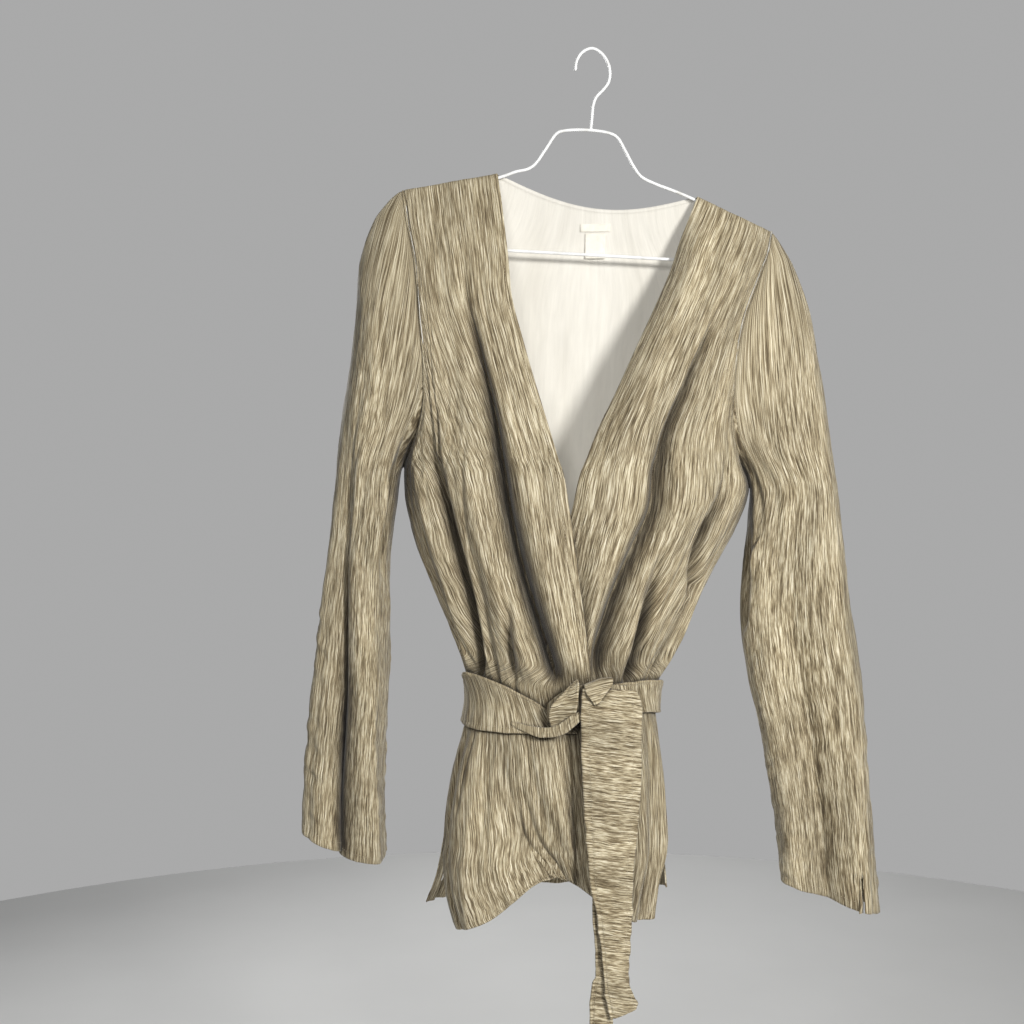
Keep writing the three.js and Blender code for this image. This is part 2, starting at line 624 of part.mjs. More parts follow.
// A point on the belt's outer face.
function onBelt(turn, row) {
  const out = BELT_GAP + BELT_CLOTH + 0.5 * Math.cos((turn * Math.PI) / 180) ** 4;
  if (turn > 180 && turn < 360) {
    const across = (turn - 180) / 180;
    const face = back(across, row);
    const s = section(row, true);
    const normal = new THREE.Vector2((face.x - s.middle) / s.half ** 2, face.y / 44 ** 2).normalize();
    const lift = out + crests(BACK_FOLDS, across, row) - bodyFolds(BACK_FOLDS, across, row);
    return new THREE.Vector3(face.x + normal.x * lift, face.y + normal.y * lift, face.z);
  }
  const right = turn <= 180;
  const angle = ((right ? turn : turn - 360) * Math.PI) / 180;
  const s = section(row, false);
  const inner = edgeAngle(at(MIDDLE, right ? "xRight" : "xLeft", row), s);
  const across = right ? (Math.PI - angle) / (Math.PI - inner) : angle / inner;
  const overlapped = !right && angle > edgeAngle(at(MIDDLE, "xRight", row), s) - 0.25;
  const folds = right || overlapped ? FRONT_RIGHT_FOLDS : FRONT_LEFT_FOLDS;
  return frontFace(angle, row, right ? "right" : "left", out + crests(folds, clamp01(across), row));
}

function beltBand() {
  const point = (j, i) => {
    const place = (i / BELT_COLUMNS) * (BELT.length - 1);
    return onBelt(at(BELT, "turn", place), mix(at(BELT, "top", place), at(BELT, "bottom", place), j / BELT_ROWS));
  };
  return wall(BELT_ROWS, BELT_COLUMNS, point, { thickness: BELT_CLOTH, flip: true });
}

// A tail of the belt: its edges seen from the front, its face's depth, and how far the height
// drops from its left edge to its right one.
const TAIL_COLUMNS = ["z", "left", "right", "y", "drop"];
const TAIL_OVER = table(TAIL_COLUMNS, [
  [-597, -9, 38, -81.5, 2],
  [-612, -10, 43, -82, 0],
  [-640, -10, 43, -82.5, 0],
  [-680, -9, 42, -83, 0],
  [-720, -6, 39, -83.5, 0],
  [-765, -3, 35, -84, 0],
  [-800, 4, 34, -84.5, 0],
  [-836, 8, 31.5, -85, 0],
  [-854, 9.5, 31.5, -85.5, 1],
  [-864, 10.5, 35.5, -86, 2],
  [-873, 12, 38.7, -86.5, 1],
  [-888, 15.5, 38, -86.5, -9],
]);
const TAIL_UNDER = table(TAIL_COLUMNS, [
  [-633, 4, 40, -71, 0],
  [-660, 2, 40, -76, 0],
  [-700, 0, 38, -78, 0],
  [-750, -1, 34, -79, 0],
  [-800, 1, 30, -80, 0],
  [-840, 4, 27, -80.5, 0],
  [-862, 1, 22, -81, 0],
  [-880, -1, 17.5, -81, 0],
  [-903, -1, 16, -81, 0],
]);

function tail(rows, bend) {
  const across = 4;
  const down = 2 * (rows.length - 1);
  const point = (j, i) => {
    const place = j / 2;
    const share = i / across;
    const bow = bend * Math.sin(Math.PI * share);
    return new THREE.Vector3(
      mix(at(rows, "left", place), at(rows, "right", place), share),
      at(rows, "y", place) + bow,
      at(rows, "z", place) - at(rows, "drop", place) * share,
    );
  };
  return wall(down, across, point, { thickness: BELT_CLOTH });
}

// A closed solid through rings of points, with flat ends.
function loft(rings, closed = false) {
  const n = rings[0].length;
  const triangles = [];
  const count = closed ? rings.length : rings.length - 1;
  const face = (a, b, c, d) => triangles.push(a, b, c, a, c, d);
  for (let k = 0; k < count; k++)
    for (let c = 0; c < n; c++) {
      const next = ((k + 1) % rings.length) * n;
      face(k * n + c, next + c, next + ((c + 1) % n), k * n + ((c + 1) % n));
    }
  const last = (rings.length - 1) * n;
  if (!closed)
    for (let c = 1; c < n - 1; c++) {
      triangles.push(0, c, c + 1);
      triangles.push(last, last + c + 1, last + c);
    }
  return solid(rings.flat(), triangles);
}

// The knot: a bunched core, and the end of the tie that is drawn over it, to a point in front.
const KNOT_CORE = table(
  ["x", "y", "z", "depth", "height"],
  [
    [-14, -66, -629, 3, 8],
    [-9, -68.5, -618, 7, 17],
    [-2, -69.8, -612, 8.2, 20],
    [6, -69.8, -611, 8.2, 20],
    [14, -68, -611, 8, 18],
    [23, -64, -611, 6.5, 14],
  ],
);
const KNOT_WRAP = table(
  ["y", "z", "left", "right", "tiltY", "tiltZ"],
  [
    [-66, -594, -7, 16, 0, 1],
    [-72, -591, -9, 17, -0.2, 1],
    [-79, -590, -9.5, 17, -0.5, 1],
    [-83.5, -593, -9.5, 17, -1, 0.6],
    [-85, -598, -8, 15.5, -1, 0.1],
    [-85.4, -604, -2, 11, -1, 0],
    [-85.6, -611, 3.5, 6.5, -1, 0],
  ],
);

function knot() {
  const core = KNOT_CORE.map((r) =>
    Array.from({ length: 10 }, (_, k) => {
      const turn = (k * Math.PI) / 5;
      return new THREE.Vector3(r.x, r.y - r.depth * Math.cos(turn), r.z + r.height * Math.sin(turn));
    }),
  );
  const wrap = KNOT_WRAP.map((r) => {
    const tilt = new THREE.Vector2(r.tiltY, r.tiltZ).normalize().multiplyScalar(BELT_CLOTH / 2);
    const corner = (x, side) => new THREE.Vector3(x, r.y + side * tilt.x, r.z + side * tilt.y);
    return [corner(r.left, 1), corner(r.right, 1), corner(r.right, -1), corner(r.left, -1)];
  });
  return join(loft(core), loft(wrap));
}

const kernel = await Module();
kernel.setup();

function toSolid(geometry) {
  const vertProperties = new Float32Array(geometry.getAttribute("position").array);
  return new kernel.Manifold(new kernel.Mesh({ numProp: 3, vertProperties, triVerts: new Uint32Array(geometry.index.array) }));
}

function join(a, b) {
  const mesh = toSolid(a).add(toSolid(b)).getMesh();
  const geometry = new THREE.BufferGeometry();
  geometry.setAttribute("position", new THREE.BufferAttribute(new Float32Array(mesh.vertProperties), 3));
  geometry.setIndex([...mesh.triVerts]);
  geometry.computeVertexNormals();
  return geometry;
}

// A label sewn on the inside of the back, given by its edges seen from the front.
const NECK_LABEL = { left: -6, right: 23, top: -163, bottom: -170 };
const CARE_TAB = { left: -1, right: 18, top: -172, bottom: -195 };

function backInside(x, z, lift) {
  let across = 0.5;
  let row = 1;
  for (let k = 0; k < 60; k++) {
    const p = back(across, row);
    across += (x - p.x) / 340;
    row -= (z - p.z) / 40;
  }
  const p = back(across, row);
  return new THREE.Vector3(x, p.y - CLOTH * 1.06 - lift, z);
}

function label({ left, right, top, bottom }, lift) {
  const point = (j, i) => backInside(mix(left, right, i / 4), mix(top, bottom, j / 2), lift + LABEL_CLOTH);
  return wall(2, 4, point, { thickness: LABEL_CLOTH });
}

// The hanger, seen from the front: one closed loop of wire and a hook welded to it.
const HANGER_LOOP = [
  [3, -76.5],
  [-22, -77],
  [-29, -79.5],
  [-40, -95],
  [-50, -109],
  [-57, -113.5],
  [-68, -116],
  [-86, -118 - WIRE_DROP],
  [-130, -125.8 - WIRE_DROP],
  [-166, -132.2 - WIRE_DROP],
  [-176, -141],
  [-183, -151],
  [-185.5, -163],
  [-183, -174],
  [-177, -183],
  [-163, -186.4],
  [-76, -191],
  [88, -200],
  [158, -204],
  [169, -203],
  [176.5, -197],
  [178, -189.5],
  [174, -181.5],
  [164, -168.3 - WIRE_DROP],
  [135, -154.4 - WIRE_DROP],
  [105, -140 - WIRE_DROP],
  [88, -136.5],
  [62, -126.5],
  [51, -120.5],
  [44, -111],
  [36, -96],
  [29, -84],
  [23, -80],
];
const HANGER_HOOK = [
  [3, -77.5],
  [4.2, -66],
  [5.5, -53],
  [8.5, -45],
  [15, -38],
  [20, -31],
  [21.5, -22],
  [19, -11],
  [12, -2],
  [4, WIRE_RADIUS],
  [-4.5, -2],
  [-10, -10],
  [-11.5, -20],
];
const WIRE_SIDES = 6;

function wire(points, closed, steps) {
  const curve = new THREE.CatmullRomCurve3(points.map(([x, z]) => new THREE.Vector3(x, 0, z)), closed, "centripetal");
  const count = steps * (closed ? points.length : points.length - 1);
  const rings = Array.from({ length: closed ? count : count + 1 }, (_, k) => {
    const middle = curve.getPoint(k / count);
    const along = curve.getTangent(k / count);
    const side = new THREE.Vector3(-along.z, 0, along.x);
    return Array.from({ length: WIRE_SIDES }, (_, c) => {
      const turn = (2 * Math.PI * (c + 0.5)) / WIRE_SIDES;
      return middle
        .clone()
        .addScaledVector(side, WIRE_RADIUS * Math.cos(turn))
        .add(new THREE.Vector3(0, WIRE_RADIUS * Math.sin(turn), 0));
    });
  });
  return loft(rings, closed);
}

const group = new THREE.Group();
group.position.x = HOOK_SHIFT;

function add(name, geometry, color, roughness = 0.9) {
  const mesh = new THREE.Mesh(geometry, new THREE.MeshStandardMaterial({ color, roughness, metalness: 0 }));
  mesh.name = name;
  group.add(mesh);
}

add("front_right", frontRightPanel(), MARL);
add("front_left", frontLeftPanel(), MARL);
add("back", backPanel(), MARL_SHADE);
add("sleeve_right", sleeve("right"), MARL);
add("sleeve_left", sleeve("left"), MARL);
add("belt_band", beltBand(), MARL);
add("belt_knot", knot(), MARL);
add("belt_tail_over", tail(TAIL_OVER, -1.5), MARL);
add("belt_tail_under", tail(TAIL_UNDER, -1), MARL_SHADE);
add("neck_label", label(NECK_LABEL, SEAM_GAP), CREAM);
add("care_tab", label(CARE_TAB, 2 * SEAM_GAP), CREAM);
add("hanger", join(wire(HANGER_LOOP, true, 2), wire(HANGER_HOOK, false, 2)), WHITE_COATING, 0.35);

export default group;
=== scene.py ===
import bpy
import numpy as np
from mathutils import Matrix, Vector


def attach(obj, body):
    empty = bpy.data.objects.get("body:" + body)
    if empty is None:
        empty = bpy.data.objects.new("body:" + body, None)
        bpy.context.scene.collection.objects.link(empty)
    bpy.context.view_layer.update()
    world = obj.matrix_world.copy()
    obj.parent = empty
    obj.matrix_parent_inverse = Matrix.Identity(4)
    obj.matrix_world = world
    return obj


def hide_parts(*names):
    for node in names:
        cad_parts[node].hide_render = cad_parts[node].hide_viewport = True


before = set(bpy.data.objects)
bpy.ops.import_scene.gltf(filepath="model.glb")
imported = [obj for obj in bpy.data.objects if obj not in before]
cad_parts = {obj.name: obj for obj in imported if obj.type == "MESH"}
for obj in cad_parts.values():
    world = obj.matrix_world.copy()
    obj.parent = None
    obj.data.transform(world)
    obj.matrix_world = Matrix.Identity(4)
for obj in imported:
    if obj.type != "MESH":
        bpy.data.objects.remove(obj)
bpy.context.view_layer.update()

MM = 0.001
CM = 0.1  # the grain coordinates are in centimetres
HOOK_SHIFT = -4  # the tables' zero lies this far from the hook's middle

CLOTH = 1.6
BELT_CLOTH = 2.6
LABEL_CLOTH = 0.6
KNOT_CLOTH = 2.0
SEAM_GAP = 0.3
BELT_GAP = 1.1
BELT_WIDTH = 46
BELT_PER_DEGREE = 1.62  # its length round the waist for each degree of turn
WIRE_RADIUS = 1.5
WIRE_DROP = 4.1

ARMPIT = 8
WAIST = 14
HEM = 20
SIDE_Y = 4
WAIST_DEPTH = 44  # half the body's depth at the belt
ELLIPSE_POWER = 0.92
SHOULDER_ROLL = 4
UNDERLAP_GAP = 5

ROW_LENGTH = 35.5  # how much cloth lies between two sections
FRONT_RIGHT_WIDTH = 262
FRONT_LEFT_WIDTH = 240
BACK_WIDTH = 385
SLEEVE_GIRTH = 300
SLEEVE_LENGTH = 640


def table(columns, rows):
    """A table as one array for each named column."""
    return dict(zip(columns, np.array(rows, float).T))


# The side edge on the wearer's right: armhole down to the armpit, then side seam, then vent.
# A row of x and z alone has the front and the back meet at SIDE_Y.
SIDE_COLUMNS = ("x", "z", "yFront", "yBack", "xBack", "zBack")


def side_table(rows):
    return table(SIDE_COLUMNS, [row + (SIDE_Y, SIDE_Y, 0, 0)[len(row) - 2 :] for row in rows])


SIDE_RIGHT = side_table([
    (-176, -134, 0, 0, 0, 0), (-170, -170, -14, 12, -5, 0), (-163, -207, -26, 22, -10, 0),
    (-158, -249, -36, 30, -13, 0), (-154, -291, -42, 36, -16, 0), (-153, -330, -42, 37, -17, 0),
    (-159, -362, -33, 31, -13, 0), (-169, -386, -16, 18, -6, 0), (-175, -398),
    (-173, -432), (-163, -470), (-149, -508),
    (-134, -545), (-119, -582), (-112, -615),
    (-118, -646), (-129, -682), (-136, -720),
    (-139, -756), (-136, -786, -7, 11, -10, -3), (-128, -808, -20, 20, -28, -9),
])
SIDE_LEFT = side_table([
    (176, -174, 0, 0, 0, 0), (169, -199, -14, 12, 4, 0), (156, -229, -26, 22, 11, 0),
    (143, -261, -36, 29, 16, 0), (136, -293, -42, 34, 17, 0), (132, -328, -44, 36, 18, 0),
    (132, -360, -40, 31, 17, 0), (141, -392, -22, 18, 10, 0), (154, -417),
    (143, -450), (124, -486), (107, -520),
    (91, -554), (74, -585), (65, -615),
    (67, -645), (71, -682), (72, -720),
    (72, -756), (63, -785, -14, 10, 13, 3), (57, -812, -30, 16, 21, 10),
])

# The middle of each section: how far the front and back stand out, how far the middle hangs
# below the sides, and the free front edges.
MIDDLE = table(("front", "back", "sag", "xRight", "zRight", "xLeft", "zLeft"), [
    (0, 0, 0, -86, -118, 105, -140), (17, 14, 0, -81, -158, 90, -178),
    (30, 20, 0, -76, -201, 78, -215), (40, 26, 0, -72, -244, 62, -252),
    (48, 31, 0, -61, -287, 44, -290), (55, 35, 0, -49, -329, 26, -328),
    (60, 38, 0, -37, -369, 7, -366), (64, 40, 0, -28, -402, -7, -402),
    (67, 41, 29, -21, -436, -17, -436), (69, 42, 27, -16, -468, -25, -468),
    (70, 42, 22, -12, -500, -31, -500), (69, 42, 17, -8, -531, -37, -531),
    (67, 42, 11, -4, -560, -42, -560), (63, 41, 5, 0, -588, -46, -588),
    (56, 39, 0, 4, -615, -50, -615), (62, 43, 0, 10, -645, -53, -645),
    (70, 49, 0, 16, -680, -56, -680), (74, 54, 0, 20, -715, -58, -715),
    (77, 57, 0, 23, -745, -59, -745), (79, 59, 0, 25, -768, -60, -768),
    (80, 60, 0, 26, -787, -60, -787),
])

# How far the fronts' hem rises between the side seams, at equal steps across.
HEM_RISE = {"rise": np.array([-15, -7, 3, 20, 36, 39, 36, 27, 13, 2, 0], float)}
HEM_RISE_FROM = 15

# The back's neck edge: its ends, and how far it dips and stands back between them.
BACK_NECK = {"from_x": -86, "to_x": 105, "from_z": -118, "to_z": -140, "drop": 21, "depth": 17}

# Folds: where each lies across its panel at its upper and lower end (0 at the side seam, 1 at
# the free edge; on the back from the wearer's right to left), from which section to which,
# how far it stands out (a valley is below 0), its half-width and, where the row has one more
# number, how far its middle bends towards the free edge.
FRONT_RIGHT_FOLDS = [
    (0.69, 0.83, 0.8, 14.2, -19, 0.045), (0.56, 0.7, 1.5, 14.2, 5, 0.055),
    (0.84, 0.92, 1.5, 13.8, 5, 0.055), (0, 0.2, 3.6, 14.2, -14, 0.036, 0.38),
    (0, 0.1, 5, 14.2, 5, 0.045, 0.3), (0.04, 0.06, 9, 14.2, -5, 0.03),
    (0.74, 0.58, 9.6, 14.2, -7, 0.028), (0.62, 0.47, 9, 14.2, -5, 0.026),
    (0.3, 0.27, 11, 14.2, -4, 0.024), (0.12, 0.14, 11, 14.2, -4, 0.024),
    (0.06, 0.05, 13.8, 21, -5, 0.035), (0.16, 0.12, 13.8, 21, -6, 0.04),
    (0.3, 0.34, 13.8, 23, 13, 0.12), (0.36, 0.4, 13.8, 19, -5, 0.03, 0.04),
    (0.48, 0.72, 13.8, 24, -20, 0.12, 0.1), (0.6, 0.84, 13.8, 22, -5, 0.035, 0.04),
    (0.8, 0.86, 13.8, 20, -4, 0.03),
]
FRONT_LEFT_FOLDS = [
    (0.45, 0.72, 1, 14.2, -14, 0.045, 0.13), (0.34, 0.6, 2.5, 13.4, 5, 0.05, 0.12),
    (0.15, 0.22, 6.4, 11, -12, 0.05, 0.25), (0.66, 0.52, 8.5, 14.2, -11, 0.036),
    (0.3, 0.34, 9.5, 14.2, -6, 0.03), (0.1, 0.1, 9.5, 14.2, -7, 0.035),
    (0.19, 0.2, 10, 14.2, 5, 0.035), (0.9, 0.79, 10.5, 14.2, -5, 0.02),
    (0.06, 0.05, 13.8, 21, -5, 0.035), (0.17, 0.14, 13.8, 22, 5, 0.05),
    (0.3, 0.26, 13.8, 22, -7, 0.045), (0.42, 0.42, 13.8, 23, 6, 0.05),
]
BACK_FOLDS = [
    (0.09, 0.07, 9, 14.2, -6, 0.022), (0.15, 0.14, 7, 14.2, -7, 0.024),
    (0.26, 0.22, 4, 14.2, -8, 0.028), (0.31, 0.29, 8.5, 14.2, -6, 0.02),
    (0.38, 0.37, 6, 14.2, -7, 0.024), (0.45, 0.45, 9, 14.2, -6, 0.02),
    (0.54, 0.53, 5, 14.2, -7, 0.024), (0.6, 0.61, 8, 14.2, -6, 0.02),
    (0.68, 0.69, 4.5, 14.2, -8, 0.026), (0.77, 0.78, 8, 14.2, -6, 0.022),
    (0.84, 0.86, 6.5, 14.2, -7, 0.024), (0.92, 0.93, 9, 14.2, -6, 0.022),
    (0.07, 0.05, 13.8, 22, -6, 0.03), (0.17, 0.14, 13.8, 22, -8, 0.035),
    (0.28, 0.25, 13.8, 22, -7, 0.03), (0.4, 0.37, 13.8, 23, -9, 0.04),
    (0.52, 0.53, 13.8, 22, -7, 0.03), (0.63, 0.66, 13.8, 23, -9, 0.035),
    (0.74, 0.78, 13.8, 22, -7, 0.03), (0.86, 0.89, 13.8, 22, -8, 0.035),
]

# Finer creases of the same kind, which the solids leave out.
FRONT_RIGHT_CREASES = [
    (0, 0.2, 2.4, 14.2, -5, 0.018, 0.38), (0.04, 0.26, 3, 14, -2.5, 0.012, 0.36),
    (0.69, 0.83, 0.5, 14.2, -10, 0.017), (0.655, 0.8, 0.5, 14.2, 2.5, 0.02),
    (0.74, 0.58, 9.4, 14.2, -3, 0.014), (0.55, 0.79, 14.2, 24, -7, 0.022, 0.06),
    (0.46, 0.7, 14.2, 22, -6, 0.02, 0.06), (0.84, 0.82, 13.9, 24, -9, 0.035),
    (0.12, 0.28, 14, 21.5, -6, 0.02, 0.04), (0.37, 0.32, 14.2, 22, 4, 0.03, 0.04),
    (0.2, 0.12, 7.4, 14.1, -2.2, 0.014), (0.34, 0.2, 6.5, 13.9, -1.8, 0.012),
    (0.5, 0.46, 5, 14, -1.8, 0.013), (0.6, 0.58, 4, 14, -1.6, 0.012),
    (0.75, 0.86, 4.5, 14, -1.5, 0.012), (0.84, 0.93, 2, 12, -1.1, 0.014),
    (0.22, 0.22, 13.9, 18.5, -2, 0.013), (0.27, 0.3, 13.9, 17, -1.8, 0.011),
    (0.43, 0.52, 13.9, 22, -2, 0.014), (0.56, 0.66, 13.9, 21, -2.2, 0.014),
    (0.66, 0.8, 13.9, 22, -2, 0.014), (0.78, 0.86, 13.9, 18, -1.5, 0.012),
]
FRONT_LEFT_CREASES = [
    (0.45, 0.72, 0.6, 14.2, -9, 0.02, 0.13), (0.15, 0.22, 6, 11.5, -3.5, 0.025, 0.25),
    (0.66, 0.52, 8, 14.2, -8, 0.02), (0.56, 0.44, 9, 14.2, 3, 0.03),
    (0.24, 0.28, 7.5, 14, -2.4, 0.013), (0.35, 0.38, 6, 14, -2, 0.013),
    (0.5, 0.52, 4, 14, -2.2, 0.013), (0.6, 0.68, 5, 14, -1.6, 0.012),
    (0.14, 0.15, 8, 14, -2, 0.012), (0.12, 0.1, 13.9, 20, -2, 0.014),
    (0.23, 0.2, 13.9, 22, -1.8, 0.014), (0.36, 0.34, 13.9, 19, -2.2, 0.014),
]
BACK_CREASES = [
    (0.12, 0.1, 10, 14, -2, 0.01), (0.2, 0.18, 8, 14, -2.2, 0.011),
    (0.34, 0.33, 9, 14, -2, 0.01), (0.49, 0.49, 7.5, 14, -2, 0.01),
    (0.57, 0.57, 10, 14, -2.4, 0.01), (0.64, 0.65, 6, 14, -2, 0.011),
    (0.73, 0.73, 9, 14, -2.2, 0.01), (0.88, 0.9, 8.5, 14, -2, 0.01),
    (0.12, 0.1, 13.9, 19, -2.2, 0.012), (0.23, 0.2, 13.9, 21, -2, 0.012),
    (0.34, 0.31, 13.9, 18, -2.4, 0.011), (0.46, 0.45, 13.9, 21, -2, 0.012),
    (0.58, 0.6, 13.9, 20, -2.4, 0.012), (0.69, 0.72, 13.9, 19, -2, 0.011),
    (0.8, 0.84, 13.9, 21, -2.2, 0.012),
]

# Sleeve sections by height: the outer and inner edge seen from the front, and the depths.
SLEEVE_COLUMNS = ("z", "out", "in", "front", "back")
SLEEVE_SECTIONS = {
    "right": table(SLEEVE_COLUMNS, [
        (-134, -176, -176, -1, 1), (-140, -190, -173, -10, 10), (-152, -201, -171, -18, 17),
        (-170, -211, -169, -25, 23), (-205, -217, -163, -34, 30), (-250, -220, -158, -41, 36),
        (-300, -225, -154, -45, 39), (-350, -233, -159, -46, 39), (-398, -238, -178, -46, 37),
        (-440, -242, -182, -46, 35), (-480, -246, -188, -46, 33), (-540, -253, -188, -47, 30),
        (-600, -259, -189, -49, 26), (-660, -265, -192, -51, 22), (-710, -268, -193, -54, 18),
        (-765, -270, -192, -58, 14),
    ]),
    "left": table(SLEEVE_COLUMNS, [
        (-174, 176, 176, -1, 1), (-180, 182, 171, -8, 8), (-191, 189, 165, -15, 14),
        (-214, 201, 158, -26, 22), (-248, 210, 146, -36, 28), (-286, 217, 137, -41, 32),
        (-333, 224, 132, -43, 34), (-381, 231, 139, -41, 33), (-417, 237, 157, -38, 30),
        (-450, 241, 153, -36, 28), (-490, 245, 148, -34, 26), (-540, 251, 146, -32, 24),
        (-600, 260, 153, -30, 22), (-640, 264, 163, -29, 21), (-680, 267, 170, -28, 20),
        (-720, 270, 177, -28, 20), (-765, 273, 182, -28, 20), (-820, 276, 187, -29, 20),
    ]),
}
SLEEVE_HEM = {
    "right": {"z": -747.5, "front": 6, "inner": 15.5},
    "left": {"z": -804, "front": 2, "inner": -14},
}
SLEEVE_BLEND = 75  # length over which the sleeve head eases from the armhole to its tube
ARMHOLE_SPREAD = 0.8

# Sleeve folds: their angle round the sleeve at the upper and lower end (0 towards the body,
# 90 at the front, 180 outside), the shares of the length they run over, height and half-width.
SLEEVE_FOLDS = {
    "right": [
        (128, 45, 0.16, 1.6, -27, 21), (62, 30, 0.26, 1.6, 8, 18), (24, 40, 0.02, 0.34, -8, 13),
        (48, 60, 0.03, 0.4, 7, 14), (152, 146, 0.3, 1.2, 4, 16), (250, 262, 0.15, 1.3, -9, 16),
        (300, 292, 0.02, 0.6, -7, 14), (216, 222, 0.3, 1.2, -5, 12),
    ],
    "left": [
        (62, 74, 0.02, 1.5, -14, 23), (122, 120, 0.14, 1.3, 8, 22), (26, 34, 0.02, 0.3, 6, 12),
        (10, 14, 0.04, 0.4, -7, 10), (140, 138, 0.82, 1.25, -4, 8), (270, 262, 0.1, 1.3, -8, 20),
        (320, 312, 0.02, 0.5, -6, 13), (222, 226, 0.4, 1.3, -5, 13),
    ],
}
SLEEVE_CREASES = {
    "right": [
        (116, 50, 0.2, 1.5, -10, 13), (58, 50, 0.38, 1.3, -3.5, 3.5), (140, 84, 0.25, 1.5, -7, 24),
        (62, 26, 0.2, 1.5, 3, 12), (30, 44, 0.0, 0.3, -5, 7), (44, 58, 0.02, 0.36, 5, 6),
        (66, 96, 0.02, 0.5, -3, 5), (86, 112, 0.03, 0.42, -2.4, 5), (40, 78, 0.01, 0.45, -3, 5),
        (110, 128, 0.06, 0.5, -2, 5), (140, 138, 0.25, 1.1, -2, 5), (84, 74, 0.5, 1.2, -2.5, 5),
        (160, 164, 0.4, 1.1, -1.6, 4), (232, 240, 0.2, 1.1, -2.4, 5), (280, 276, 0.1, 0.9, -2.2, 5),
        (322, 318, 0.02, 0.5, -2.6, 5),
    ],
    "left": [
        (82, 88, 0.02, 1.5, -13, 13), (104, 110, 0.04, 1.4, -5, 14),
        (44, 52, 0.03, 1.3, 3, 12), (24, 34, 0, 0.26, -5, 6),
        (60, 84, 0.01, 0.34, -2.4, 5), (40, 66, 0.01, 0.4, -2.8, 5),
        (84, 100, 0.03, 0.5, -1.8, 5), (22, 44, 0.01, 0.3, -2.6, 4),
        (104, 118, 0.08, 0.7, -1.6, 5), (130, 126, 0.3, 1.1, -1.8, 5),
        (52, 50, 0.4, 1.1, -2, 5), (240, 246, 0.2, 1.1, -2.2, 5),
        (290, 284, 0.08, 0.9, -2.2, 5), (334, 326, 0.02, 0.45, -2.4, 5),
    ],
}

# The belt round the waist: degrees of turn (180 and 360 at the sides), and the sections where
# its edges lie.
BELT = table(("turn", "top", "bottom"), [
    (84, 14.5, 14.8), (96, 14.25, 14.78), (110, 13.8, 14.82), (130, 13.35, 14.82),
    (155, 13.2, 14.8), (180, 13.4, 14.75), (225, 13.3, 14.8), (270, 13.2, 14.8),
    (315, 13.25, 14.75), (350, 13.6, 14.6), (362, 13.7, 14.5), (382, 13.4, 14.4),
    (405, 13.3, 14.3), (425, 13.3, 14.3),
])

# A tail of the belt: its edges seen from the front, its face's depth, and how far the height
# drops from its left edge to its right one.
TAIL_COLUMNS = ("z", "left", "right", "y", "drop")
TAIL_OVER = table(TAIL_COLUMNS, [
    (-597, -9, 38, -81.5, 2), (-612, -10, 43, -82, 0), (-640, -10, 43, -82.5, 0),
    (-680, -9, 42, -83, 0), (-720, -6, 39, -83.5, 0), (-765, -3, 35, -84, 0),
    (-800, 4, 34, -84.5, 0), (-836, 8, 31.5, -85, 0), (-854, 9.5, 31.5, -85.5, 1),
    (-864, 10.5, 35.5, -86, 2), (-873, 12, 38.7, -86.5, 1), (-888, 15.5, 38, -86.5, -9),
])
TAIL_UNDER = table(TAIL_COLUMNS, [
    (-633, 4, 40, -71, 0), (-660, 2, 40, -76, 0), (-700, 0, 38, -78, 0),
    (-750, -1, 34, -79, 0), (-800, 1, 30, -80, 0), (-840, 4, 27, -80.5, 0),
    (-862, 1, 22, -81, 0), (-880, -1, 17.5, -81, 0), (-903, -1, 16, -81, 0),
])

NECK_LABEL = {"left": -6, "right": 23, "top": -163, "bottom": -170}
CARE_TAB = {"left": -1, "right": 18, "top": -172, "bottom": -195}


def along(rows, column, place):
    """A column's value between a table's rows, on a smooth curve through them."""
    values = rows[column]
    last = len(values) - 1
    t = np.clip(place, 0, last)
    i = np.minimum(np.floor(t).astype(int), last - 1)
    f = t - i
    a, b, c, d = (values[np.clip(i + k, 0, last)] for k in (-1, 0, 1, 2))
    return b + 0.5 * f * (c - a + f * (2 * a - 5 * b + 4 * c - d + f * (3 * (b - c) + d - a)))


def mix(a, b, share):
    return a + (b - a) * share


def smooth(x):
    x = np.clip(x, 0, 1)
    return x * x * (3 - 2 * x)


def signed_power(x, power):
    return np.sign(x) * np.abs(x) ** power


def points(x, y, z):
    return np.stack(np.broadcast_arrays(x, y, z), axis=-1).astype(float)


def noise(u, v, seed):
    """Smooth noise from -1 to 1, with cells one unit wide, the same on each run."""
    size = 64
    values = np.random.default_rng(seed).uniform(-1, 1, (size, size))
    i, j = np.floor(u).astype(int), np.floor(v).astype(int)
    fu, fv = u - i, v - j
    su, sv = (f * f * f * (f * (f * 6 - 15) + 10) for f in (fu, fv))
    a, b = values[i % size, j % size], values[(i + 1) % size, j % size]
    c, d = values[i % size, (j + 1) % size], values[(i + 1) % size, (j + 1) % size]
    return mix(mix(a, b, su), mix(c, d, su), sv)


CREASE_POWER = 1.4  # a crease is sharper than a fold, whose power is 2
FOLD_GROWS = 0.55  # the shares of its run over which a fold grows and dies away
FOLD_FADES = 0.12


def fold_height(folds, across, place, spread=1, power=2):
    """How far the folds push the cloth out: each grows and dies away smoothly along its run."""
    height = np.zeros(np.broadcast(across, place).shape)
    for upper, lower, start, end, rise, width, *bend in folds:
        t = (place - start) / (end - start)
        share = smooth(np.minimum(t / FOLD_GROWS, (1 - t) / FOLD_FADES))
        middle = mix(upper, lower, smooth(t)) + sum(bend) * 4 * t * (1 - t)
        height = height + rise * share * np.exp(-(np.abs(across - middle) / (width * spread)) ** power)
    return height


